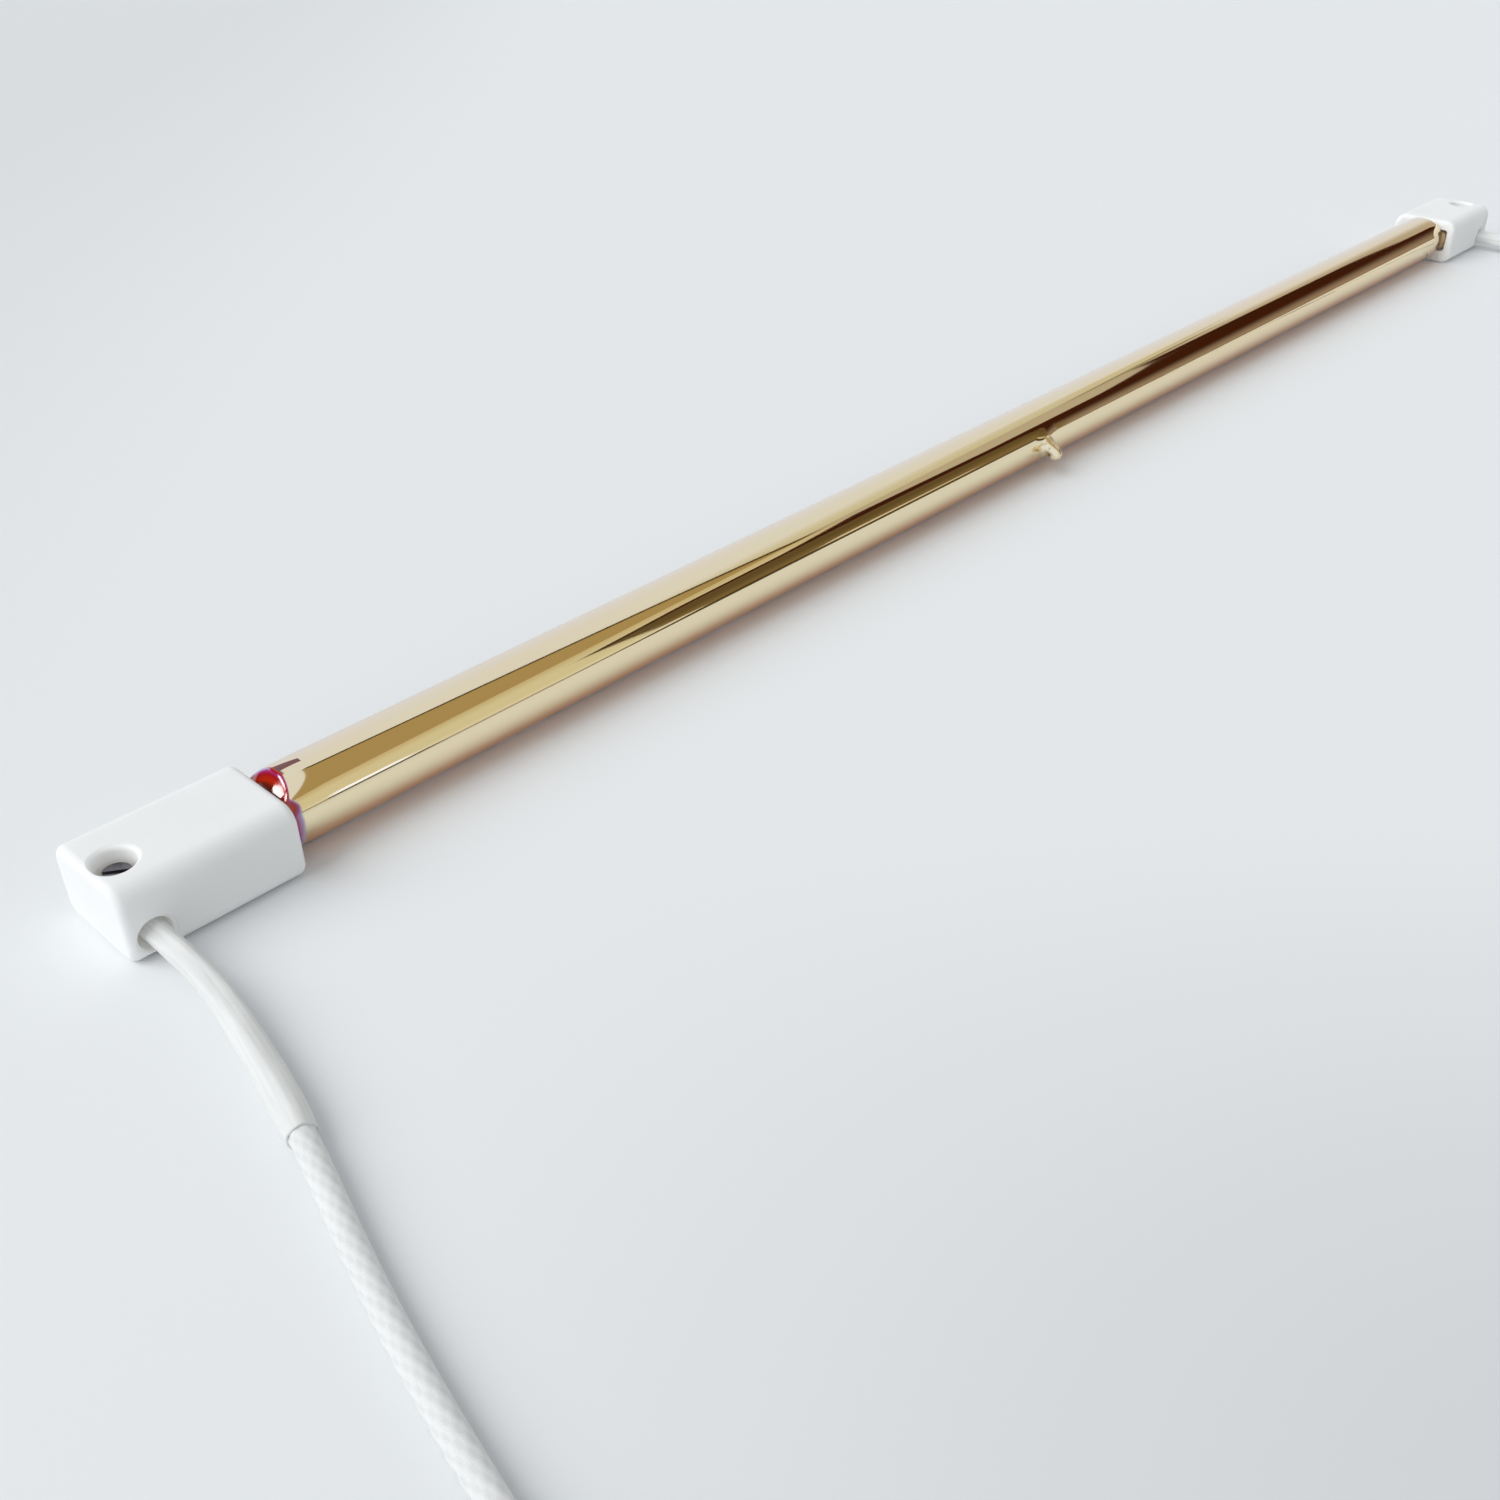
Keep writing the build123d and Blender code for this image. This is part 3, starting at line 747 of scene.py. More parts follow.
def close_ends(mesh: BMesh, skin: Iterable[BMFace]) -> list[BMFace]:
    """Fill a skin's open ends and give the faces that fill them."""
    ends = {edge for face in skin for edge in face.edges if edge.is_boundary}
    return bmesh.ops.holes_fill(mesh, edges=list(ends), sides=0)["faces"]


@dataclass
class Station:
    """A place along a line with the two directions across it."""

    place: Vector
    side: Vector
    up: Vector

    def around(self, angle: float, radius: float) -> Vector:
        """Give the point at an angle and a radius round the line."""
        return self.place + (self.side * math.cos(angle) + self.up * math.sin(angle)) * radius


@dataclass(frozen=True)
class Wave:
    """A wave on a skin, round its line and along it."""

    size: float
    around: float  # waves round the line
    along: float  # radians from one end of the skin to the other
    start: float = 0.0

    def at(self, angle: float, share: float) -> float:
        """Give the wave's height at an angle and a share of the length."""
        return self.size * math.sin(self.around * angle + self.along * share + self.start)


@dataclass
class Envelope:
    """The quartz tube: drawn round, pressed flat at its ends, and tipped off on its side."""

    axis_height: float
    radius: float
    end_x: float
    cap_face: float
    wall: float = 1.0 * MM
    flat_inset: float = 0.5 * MM  # start of the flat seal behind the cap's face
    shoulder: float = 2.7 * MM
    draft: float = 3.4 * MM  # length of the faint slope before the shoulder
    draft_depth: float = 0.09 * MM
    neck: float = 0.06  # share of the radius that the tube loses from there to the seal
    spread_start: float = 0.6  # share of the shoulder that stays narrow before the seal spreads
    hollowing: float = 1.5  # how much steeper the shoulder starts than it ends
    crown: float = 0.3 * MM
    crease: float = 0.16 * MM
    fine_crease: float = 0.02 * MM
    flat_half_width: float = 5.5 * MM
    flat_half_thick: float = 1.8 * MM
    panel_inset: float = 1.8 * MM
    panel_half_width: float = 3.2 * MM
    panel_depth: float = 0.45 * MM
    panel_edge: float = 0.3 * MM
    bore_nose: float = 1.9 * MM
    nose_half_width: float = 2.7 * MM
    nose_half_thick: float = 0.65 * MM
    sides: int = 200
    bore_sides: int = 96
    press_step: float = 0.12 * MM
    flat_step: float = 0.6 * MM
    body_step: float = 8.0 * MM
    tip_x: float = -8.5 * MM
    tip_tilt: float = math.radians(-6)
    tip_root: float = 0.8 * MM  # depth of the pip's root in the wall
    tip_rings: tuple[Point, ...] = (  # step and radius in millimetres and degrees of droop, as in the solid
        (0.0, 2.2, 0.0), (0.8, 1.95, 0.0), (0.7, 1.5, 5.0), (0.7, 1.3, 16.0), (0.7, 1.35, 32.0),
        (0.6, 1.15, 48.0), (0.4, 0.6, 60.0), (0.1, 0.0, 60.0))
    tip_rows: int = 5  # rows of faces from one ring to the next
    tip_sides: int = 40
    tip_lumps: tuple[Wave, ...] = (Wave(0.10, 2, 2.5, 1.0), Wave(0.06, 3, -4.0))
    tip_smoothing: int = 3

    @property
    def flat_x(self) -> float:
        """Give where the flat seal starts."""
        return self.cap_face + self.flat_inset

    @property
    def shoulder_x(self) -> float:
        """Give where the shoulder starts."""
        return self.flat_x - self.shoulder

    @property
    def draft_x(self) -> float:
        """Give where the round tube ends."""
        return self.shoulder_x - self.draft

    def build(self) -> Object:
        """Draw, press and tip off the tube.

        Returns:
            The piece, which stands for the quartz solid.
        """
        mesh = bmesh.new()
        press_layer = mesh.verts.layers.float.new("press")
        outside = self._halves(((self.end_x, self.flat_x, self.flat_step),
                                (self.flat_x, self.draft_x, self.press_step),
                                (self.draft_x, 0.0, self.body_step)))
        self._drawn(mesh, outside, self.radius, self.sides, self._press_outside, press_layer)
        nose_x = self.shoulder_x + self.bore_nose
        inside = self._halves(((nose_x, self.shoulder_x, self.press_step),
                               (self.shoulder_x, 0.0, self.body_step)))
        bore = self._drawn(mesh, inside, self.radius - self.wall, self.bore_sides, self._press_bore,
                           press_layer)
        bmesh.ops.reverse_faces(mesh, faces=bore)
        for face in bore:
            face.material_index = 1
        self._tip_off(mesh)
        tip_foot = (self.tip_x, -self.radius * math.cos(self.tip_tilt),
                    self.axis_height + self.radius * math.sin(self.tip_tilt))
        gold = GoldCoat(self.axis_height, self.radius, self.cap_face, tip_foot)
        piece = finish_piece(mesh, "quartz_envelope", "gold_coated_quartz", gold, ClearQuartz(), MeltedGold())
        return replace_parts(piece, "quartz_tube")

    @staticmethod
    def _halves(stretches: Sequence[tuple[float, float, float]]) -> list[float]:
        """Space rings along both halves of the tube.

        Args:
            stretches: From one end to the middle, where each stretch starts and ends, and the step on it.

        Returns:
            The rings' places along the tube.
        """
        half = []
        for start, end, step in stretches:
            count = math.ceil((start - end) / step)
            half += [start + (end - start) * number / count for number in range(count)]
        return [-x for x in half] + [0.0] + half[::-1]

    def _drawn(self, mesh: BMesh, stations: Sequence[float], radius: float, sides: int,
               press: Callable[[Vector], float], layer: BMLayerItem) -> list[BMFace]:
        """Draw one closed skin along the axis and press its ends.

        Args:
            mesh: The mesh that it is added to.
            stations: The rings' places.
            radius: The skin's radius where it is round.
            sides: How many faces it has round.
            press: Moves a point of the round skin to where the press leaves it, and tells how deep that is.
            layer: Where each point's press depth is kept, in millimetres.

        Returns:
            The skin's faces.
        """
        def put(point: BMVert, ring: int, angle: float) -> None:
            """Put a point on the round skin and press it."""
            point.co = (stations[ring], radius * math.cos(angle), self.axis_height + radius * math.sin(angle))
            point[layer] = press(point.co) / MM

        skin = wrap(mesh, len(stations) - 1, sides, put)
        return skin + close_ends(mesh, skin)

    @staticmethod
    def _flattened(height: float, half_thick: float, crease: float) -> float:
        """Flatten a height against the press, with a soft crease.

        Args:
            height: The height from the axis on the round skin.
            half_thick: How far from the axis the press stops.
            crease: How soft the crease is.

        Returns:
            The height after the press.
        """
        over = abs(height) - (half_thick - crease)
        if over <= 0:
            return height
        return math.copysign(half_thick - crease * math.exp(-over / crease), height)

    def _press_outside(self, point: Vector) -> float:
        """Press a point of the outer skin: a neck, and sloped flats to the seal, which spreads sideways.

        Args:
            point: The point, which is moved.

        Returns:
            How deep the flats cut the round skin there.
        """
        along = abs(point.x)
        drafted = part_way(along, self.draft_x, self.shoulder_x)
        if drafted == 0.0:
            return 0.0
        sloped = part_way(along, self.shoulder_x, self.flat_x)
        narrow = 1 - self.neck * part_way(along, self.draft_x, self.flat_x) ** 2
        spread = part_way(sloped, self.spread_start, 1.0) ** 2
        round_height = (point.z - self.axis_height) * narrow
        crease = self.fine_crease + (self.crease - self.fine_crease) * drafted
        half = narrow * self.radius + crease - (self.draft_depth + crease) * drafted
        half += (self.flat_half_thick - half) * (1 - (1 - sloped) ** self.hollowing)
        half += self.crown * 4 * sloped * (1 - sloped) * (1 - (point.y / self.radius) ** 2)
        if along > self.flat_x + self.panel_inset:
            half -= self.panel_depth * part_way(self.panel_half_width - abs(point.y), 0.0, self.panel_edge)
        point.y *= narrow + (self.flat_half_width / self.radius - narrow) * spread
        height = self._flattened(round_height, half, crease)
        point.z = self.axis_height + height
        return abs(round_height) - abs(height)

    def _press_bore(self, point: Vector) -> float:
        """Press a point of the bore: it narrows to a flat nose.

        Args:
            point: The point, which is moved.

        Returns:
            Nothing deep: the bore isn't stained.
        """
        bore = self.radius - self.wall
        share = part_way(abs(point.x), self.shoulder_x, self.shoulder_x + self.bore_nose)
        point.y *= 1 + (self.nose_half_width / bore - 1) * share
        half = bore + self.crease + (self.nose_half_thick - bore - self.crease) * share
        point.z = self.axis_height + self._flattened(point.z - self.axis_height, half, self.crease)
        return 0.0

    def _tip_stations(self) -> list[tuple[Station, float]]:
        """Work out the pip's rings from its root to its drooped tip.

        Returns:
            Each ring's place and radius, with evenly spaced rings between the solid's own.
        """
        turn = Matrix.Rotation(-self.tip_tilt, 3, "X")
        axis = Vector((self.tip_x, 0, self.axis_height))
        reach = Vector((0, self.tip_root - self.radius, 0))
        rings = []
        for step, radius, droop in self.tip_rings:
            ahead = Vector((0, -math.cos(math.radians(droop)), -math.sin(math.radians(droop))))
            reach = reach + ahead * step * MM
            side = Vector((1, 0, 0))
            rings.append((axis + turn @ reach, turn @ ahead.cross(side), radius * MM))
        fine = []
        for (here, up_here, wide_here), (there, up_there, wide_there) in zip(rings, rings[1:]):
            for row in range(self.tip_rows):
                share = row / self.tip_rows
                up = up_here.lerp(up_there, share).normalized()
                fine.append((Station(here.lerp(there, share), Vector((1, 0, 0)), up),
                             wide_here + (wide_there - wide_here) * share))
        place, up, radius = rings[-1]
        return fine + [(Station(place, Vector((1, 0, 0)), up), radius)]

    def _tip_off(self, mesh: BMesh) -> None:
        """Add the pip where the exhaust tube was melted off: a stub with a lumpy, drooping head.

        Args:
            mesh: The mesh that it is added to.
        """
        stations = self._tip_stations()
        rows = len(stations) - 1

        def put(point: BMVert, ring: int, angle: float) -> None:
            """Put a point on the pip, with the lumps that the flame left."""
            station, radius = stations[ring]
            melted = ring / rows
            lump = sum(wave.at(angle, melted) for wave in self.tip_lumps)
            point.co = station.around(angle, radius * (1 + lump * min(2 * melted, 1.0)))

        skin = wrap(mesh, rows, self.tip_sides, put)
        points = list({point for face in skin for point in face.verts if not point.is_boundary})
        for _ in range(self.tip_smoothing):
            bmesh.ops.smooth_vert(mesh, verts=points, factor=0.5,
                                  use_axis_x=True, use_axis_y=True, use_axis_z=True)
        for face in skin:
            face.material_index = 2


@dataclass
class HeatingCoil:
    """The tungsten coil inside the tube."""

    start_x: float
    end_x: float
    axis_height: float
    radius: float
    wire: float = 0.30 * MM
    first_turns: int = 3
    doublings: int = 7
    steps_per_turn: int = 12
    wire_sides: int = 6

    def build(self) -> Object:
        """Wind a few turns and double them until the coil is full.

        Returns:
            The piece, which stands for the filament solid.
        """
        mesh = bmesh.new()
        middle = self.radius - self.wire / 2
        start = Matrix.Translation((self.start_x + self.wire / 2, 0, self.axis_height + middle))
        stand = start @ Matrix.Rotation(math.radians(90), 4, "X")
        section = bmesh.ops.create_circle(mesh, segments=self.wire_sides, radius=self.wire / 2,
                                          matrix=stand)["verts"]
        geometry = section + list({edge for point in section for edge in point.link_edges})
        pitch = (self.end_x - self.start_x - self.wire) / (self.first_turns * 2 ** self.doublings)
        bmesh.ops.spin(mesh, geom=geometry, cent=(0, 0, self.axis_height), axis=(1, 0, 0),
                       dvec=(pitch / self.steps_per_turn, 0, 0), angle=self.first_turns * 2 * math.pi,
                       steps=self.first_turns * self.steps_per_turn)
        for doubling in range(self.doublings):
            wound = [*mesh.verts, *mesh.edges, *mesh.faces]
            copied = bmesh.ops.duplicate(mesh, geom=wound)["geom"]
            fresh = [item for item in copied if isinstance(item, BMVert)]
            bmesh.ops.translate(mesh, vec=(self.first_turns * 2 ** doubling * pitch, 0, 0), verts=fresh)
        bmesh.ops.remove_doubles(mesh, verts=mesh.verts, dist=0.01 * MM)
        close_ends(mesh, mesh.faces)
        bmesh.ops.recalc_face_normals(mesh, faces=mesh.faces)
        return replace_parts(finish_piece(mesh, "heating_coil", "tungsten", TUNGSTEN), "filament")


class Line:
    """The smooth centre line of a lead, read from a spline through its route."""

    def __init__(self, name: str, controls: Sequence[Point]) -> None:
        """Lay the spline and read its points.

        Args:
            name: The line's name.
            controls: The spline's control points.
        """
        curve = bpy.data.curves.new(f"{name}_line", "CURVE")
        curve.dimensions = "3D"
        spline = curve.splines.new("NURBS")
        spline.points.add(len(controls) - 1)
        for point, place in zip(spline.points, controls):
            point.co = (*place, 1.0)
        spline.order_u = 3
        spline.use_endpoint_u = True
        spline.resolution_u = 10
        laid = put_in_scene(f"{name}_line", curve)
        bpy.context.view_layer.update()
        read = bpy.data.meshes.new_from_object(laid.evaluated_get(bpy.context.evaluated_depsgraph_get()))
        self.points = [point.co.copy() for point in read.vertices]
        bpy.data.objects.remove(laid)
        bpy.data.curves.remove(curve)
        bpy.data.meshes.remove(read)
        self.reach = [0.0]
        for here, there in zip(self.points, self.points[1:]):
            self.reach.append(self.reach[-1] + (there - here).length)

    @property
    def length(self) -> float:
        """Give the line's length."""
        return self.reach[-1]

    def reach_at_y(self, y: float) -> float:
        """Find where the line first passes a place across the tube.

        Args:
            y: The place across the tube.

        Returns:
            How far along the line that is.
        """
        for here, there, reach in zip(self.points, self.points[1:], self.reach):
            if there.y <= y:
                return reach + (y - here.y) / (there.y - here.y) * (there - here).length
        return self.length

    def stations(self, start: float, end: float, count: int) -> list[Station]:
        """Give evenly spaced places along a stretch of the line.

        Args:
            start: Where the stretch starts, along the line.
            end: Where it ends.
            count: How many places.

        Returns:
            The places, with directions across the line that turn as little as they can.
        """
        places = []
        index = 0
        for number in range(count):
            wanted = start + (end - start) * number / (count - 1)
            while index < len(self.reach) - 2 and self.reach[index + 1] < wanted:
                index += 1
            run = self.reach[index + 1] - self.reach[index]
            places.append(self.points[index].lerp(self.points[index + 1], (wanted - self.reach[index]) / run))
        found = []
        side = Vector((1, 0, 0))
        for number, place in enumerate(places):
            ahead = (places[min(number + 1, count - 1)] - places[max(number - 1, 0)]).normalized()
            side = (side - ahead * side.dot(ahead)).normalized()
            found.append(Station(place, side, ahead.cross(side)))
        return found


@dataclass
class Lead:
    """One braided lead with its sleeve, its put-away coil and the route that it takes from the cap."""

    end: End
    route: Sequence[Point]  # millimetres, as in the solids' source
    tail_lengths: Sequence[float]
    diameter: float = 2.8 * MM
    exit_y: float = -7.5 * MM
    coil_radius: float = 15.0 * MM
    coil_turns: float = 1.5
    coil_points_per_turn: int = 16
    coil_climb: Limits = (0.45, 0.95)  # turns between which the lead climbs to the second layer
    layer_low: float = 2.1 * MM
    layer_high: float = 4.9 * MM
    tail_drops: Sequence[float] = (0.3, 1.0, 1.0)
    tail_sways: Sequence[float] = (0.2 * MM, 1.0 * MM, 2.4 * MM)
    rest_height: float = 1.7 * MM  # of the lead where it enters the terminal
    gathered: float = 0.74  # how much narrower the lead is where it leaves the cap
    gathered_length: float = 34.0 * MM
    strands: int = 7  # in each direction round the braid
    cell: float = 1.25 * MM  # length of one crossing
    yarn_shares: Limits = (0.33, 0.17)  # of the relief, for the yarns that lie over and under
    relief: float = 0.07 * MM
    sides: int = 48
    ring_step: float = 0.2 * MM
    sleeve_start_y: float = -4.6 * MM
    sleeve_end_y: float = -42.7 * MM
    sleeve_radius: float = 1.75 * MM
    sleeve_wall: float = 0.24 * MM
    sleeve_ribs: Sequence[tuple[float, ...]] = (  # height, ribs round the sleeve, radians and number of sways
        (0.3, 14, 1.6, 9), (0.2, 21, -2.2, 6))
    sleeve_rib_depth: float = 0.045 * MM
    sleeve_dent: float = 0.018 * MM
    sleeve_folds: Sequence[Wave] = (Wave(1.0, 5, 7), Wave(0.6, 3, -16))
    sleeve_fold_depths: Limits = (0.08 * MM, 0.04 * MM)  # where it is gathered and where it lies loose
    sleeve_gathered: float = 0.82  # how much narrower it is inside the lead hole
    sleeve_opening: Limits = (0.1, 0.95)  # share of its length over which it opens out
    sleeve_grip: float = 0.12 * MM  # how much it draws in at its cut end

    def build(self) -> Object:
        """Returns:
            The lead.
        """
        line = Line(self.end.node("lead"), self._controls())
        lead = self._braid(line)
        sleeve = self._sleeve(line)
        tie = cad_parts[self.end.node("coil_tie")]
        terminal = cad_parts[self.end.node("ring_terminal")]
        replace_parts(lead, *(self.end.node(kind) for kind in ("lead", "lead_coil", "lead_tail")))
        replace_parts(sleeve, self.end.node("lead_sleeve"))
        LOG.info("%s: %.0f mm of lead", lead.name, line.length / MM)
        return lead

    def _controls(self) -> list[Point]:
        """Work out the spline's control points: the route, the coil's turns and the tail.

        Returns:
            The points, in metres.
        """
        route = [tuple(value * MM for value in point) for point in self.route]
        before, last = Vector(route[-2]), Vector(route[-1])
        ahead = (last - before).to_2d().normalized()
        centre = last.to_2d() + Vector((ahead.y, -ahead.x)) * self.coil_radius
        entry = math.atan2(last.y - centre.y, last.x - centre.x)
        turn = 2 * math.pi / self.coil_points_per_turn
        wide = self.coil_radius / math.cos(turn / 2)
        controls = list(route)
        for number in range(1, round(self.coil_turns * self.coil_points_per_turn)):
            angle = entry - turn * number
            climb = part_way(number / self.coil_points_per_turn, *self.coil_climb)
            height = self.layer_low + (self.layer_high - self.layer_low) * climb
            controls.append((centre.x + wide * math.cos(angle), centre.y + wide * math.sin(angle), height))
        return controls + self._tail(centre, entry - 2 * math.pi * self.coil_turns)

    def _tail(self, centre: Vector, angle: float) -> list[Point]:
        """Work out the points from the coil's top to the terminal.

        Args:
            centre: The coil's centre.
            angle: Where the lead leaves the coil.

        Returns:
            The points, in metres.
        """
        out = Vector((math.cos(angle), math.sin(angle)))
        ahead = Vector((out.y, -out.x))
        start = centre + out * self.coil_radius
        points = [(start.x, start.y, self.layer_high)]
        for length, drop, sway in zip(self.tail_lengths, self.tail_drops, self.tail_sways):
            place = start + ahead * length * MM + out * sway
            points.append((place.x, place.y, self.layer_high + drop * (self.rest_height - self.layer_high)))
        return points

    def _wrapped(self, stations: Sequence[Station],
                 height: Callable[[float, float], tuple[float, float]]) -> BMesh:
        """Wrap a skin round a stretch of the lead.

        Args:
            stations: The places along the stretch.
            height: Gives a radius and a relief, from 0 to 1, at a share of the stretch and an angle.

        Returns:
            The skin, open at its ends, with its own map and its relief.
        """
        mesh = bmesh.new()
        mesh.loops.layers.uv.new("UVMap")
        relief = mesh.verts.layers.float.new("relief")
        rings = len(stations) - 1

        def put(point: BMVert, ring: int, angle: float) -> None:
            """Put a point round its station and keep its relief."""
            radius, point[relief] = height(ring / rings, angle)
            point.co = stations[ring].around(angle, radius)

        wrap(mesh, rings, self.sides, put)
        return mesh

    def _braid(self, line: Line) -> Object:
        """Braid the lead's jacket: two sets of yarns that pass over and under each other.

        Args:
            line: The lead's centre line.

        Returns:
            The jacket.
        """
        stations = line.stations(0.0, line.length, math.ceil(line.length / self.ring_step))
        lay = math.pi * line.length / self.cell

        def yarns(share: float, angle: float) -> tuple[float, float]:
            """Lay the yarns.

            Args:
                share: The share of the lead's length.
                angle: The angle round it.

            Returns:
                The jacket's radius and relief.
            """
            over, under = self.yarn_shares
            relief = 0.5 + over * math.cos(self.strands * angle + lay * share)
            relief += under * math.cos(self.strands * angle - lay * share)
            loose = part_way(share * line.length, 0.0, self.gathered_length)
            narrow = self.gathered + (1 - self.gathered) * loose
            # the relief also sets the painted shade in the braid's hollows
            return narrow * self.diameter / 2 - self.relief * (1 - relief), relief

        mesh = self._wrapped(stations, yarns)
        close_ends(mesh, mesh.faces)
        bmesh.ops.recalc_face_normals(mesh, faces=mesh.faces)
        return finish_piece(mesh, self.end.node("braided_lead"), "lead_braid", LEAD_YARN)

    def _sleeve(self, line: Line) -> Object:
        """Slip the sleeve on: lengthwise ribs, a soft unevenness and a cut edge.

        Args:
            line: The lead's centre line.

        Returns:
            The sleeve.
        """
        start = line.reach_at_y(self.sleeve_start_y)
        end = line.reach_at_y(self.sleeve_end_y)
        stations = line.stations(start, end, math.ceil((end - start) / self.ring_step))

        def ribs(share: float, angle: float) -> tuple[float, float]:
            """Rib, dent and fold the sleeve.

            Args:
                share: The share of the sleeve's length.
                angle: The angle round it.

            Returns:
                The sleeve's radius and relief.
            """
            rib = 0.5 + sum(height * math.cos(count * angle + sway * math.sin(sways * share))
                            for height, count, sway, sways in self.sleeve_ribs)
            dent = math.sin(23 * share + 2 * math.sin(angle)) + 0.7 * math.sin(51 * share - 2 * angle)
            fold = sum(wave.at(angle, share) for wave in self.sleeve_folds)
            loose = part_way(share, *self.sleeve_opening)
            loose = loose * loose * (3 - 2 * loose)
            tight_fold, loose_fold = self.sleeve_fold_depths
            radius = self.sleeve_radius * (self.sleeve_gathered + (1 - self.sleeve_gathered) * loose)
            radius += self.sleeve_dent * dent - self.sleeve_rib_depth * (1 - rib)
            radius += (tight_fold + (loose_fold - tight_fold) * loose) * fold
            radius -= self.sleeve_grip * part_way(share, self.sleeve_opening[1], 1.0)
            # the relief also sets the painted shade between the ribs
            return radius, 0.4 + 0.6 * rib

        mesh = self._wrapped(stations, ribs)
        bmesh.ops.solidify(mesh, geom=list(mesh.faces), thickness=self.sleeve_wall)
        return finish_piece(mesh, self.end.node("fibre_sleeve"), "sleeve_braid", SLEEVE_YARN)


@dataclass
class Fittings:
    """The solids that keep their shape: caps, terminals, seals and supports."""

    support_count: int = 7

    def dress(self) -> None:
        """Give each solid its finish."""
        for number in range(1, self.support_count + 1):
            dress(f"filament_support_{number}", TUNGSTEN)
        per_end = {
            "filament_leg": TUNGSTEN, "seal_foil": MOLYBDENUM, "outer_pin": MOLYBDENUM, "end_cap": STEATITE,
            "cap_cement": CEMENT, "terminal_post": BRASS, "terminal_screw": DARK_STEEL, "lead_core": NICKEL,
            "coil_tie": Nylon(), "ring_terminal": TINNED_COPPER,
        }
        for kind, finish in per_end.items():
            for end in End:
                dress(end.node(kind), finish)


def across(graph: Graph) -> tuple[Value, Value]:
    """Read the surface's place as the camera is turned.

    Args:
        graph: The material's graph.

    Returns:
        The places ahead of the camera and to its right, from the tube's middle.
    """
    x, y, _ = graph.parts(graph.place())
    cosine, sine = math.cos(HEADING), math.sin(HEADING)
    return x * cosine + y * sine, x * sine - y * cosine


@dataclass(frozen=True)
class FloorPaint(Finish):
    """The floor's pale paint, with painted shade that dims it a little on the left and at the camera's right
    foot.
    """

    name: str = "pale_floor"
    colour: Colour = (0.865, 0.88, 0.89)
    near_painted_shade: float = 0.2
    near_ahead: Limits = (-0.10, -0.21)  # metres from the tube's middle over which painted shade dims the near right
    near_right: Limits = (-0.12, 0.02)
    left_painted_shade: float = 0.1
    left: Limits = (-0.12, -0.30)
    cloud_dim: float = 0.02
    cloud_scale: float = 3.0  # clouds to a metre

    def shade(self, graph: Graph) -> Value:
        """Build a matt paint.

        Args:
            graph: The material's graph.

        Returns:
            The finished shader.
        """
        ahead, right = across(graph)
        # painted shade: the floor darkens towards the left and the camera's right foot, with faint random
        # clouds
        painted_shade_and_cloud = ahead.rise(*self.near_ahead) * right.rise(*self.near_right) * self.near_painted_shade
        painted_shade_and_cloud += right.rise(*self.left) * self.left_painted_shade
        painted_shade_and_cloud += graph.noise(graph.place(), self.cloud_scale, 2) * self.cloud_dim
        colour = graph.mix(painted_shade_and_cloud, self.colour, BLACK)
        return graph.principled(Base_Color=colour, Roughness=0.7, Specular_IOR_Level=0.2)


class Fade(Enum):
    """The direction in which a card fades."""

    UP = "up"
    AHEAD = "ahead"


@dataclass(frozen=True)
class Card(Finish):
    """A flat reflector of the room round the set, seen only in gloss."""

    name: str
    colour: Colour
    corners: tuple[Point, ...]  # metres ahead of the camera, to its right, and up, from the tube's middle
    other_colour: Colour | None = None  # where the card fades to another colour
    fade: Fade = Fade.UP
    fade_limits: Limits = (0.0, 1.0)  # metres, from the first colour to the other

    def shade(self, graph: Graph) -> Value:
        """Build an even glow, or one that fades.

        Args:
            graph: The material's graph.

        Returns:
            The finished shader.
        """
        colour: Union[Value, Colour] = self.colour
        if self.other_colour:
            along = across(graph)[0] if self.fade is Fade.AHEAD else graph.parts(graph.place())[2]
            colour = graph.mix(along.rise(*self.fade_limits), self.colour, self.other_colour)
        return graph.node("ShaderNodeEmission", inputs={"Color": colour, "Strength": 1.0})


def upright(right: float, *corners: tuple[float, float]) -> tuple[Point, ...]:
    """Give the corners of a card that stands at one distance to the right, from places ahead and up."""
    return tuple((ahead, right, up) for ahead, up in corners)


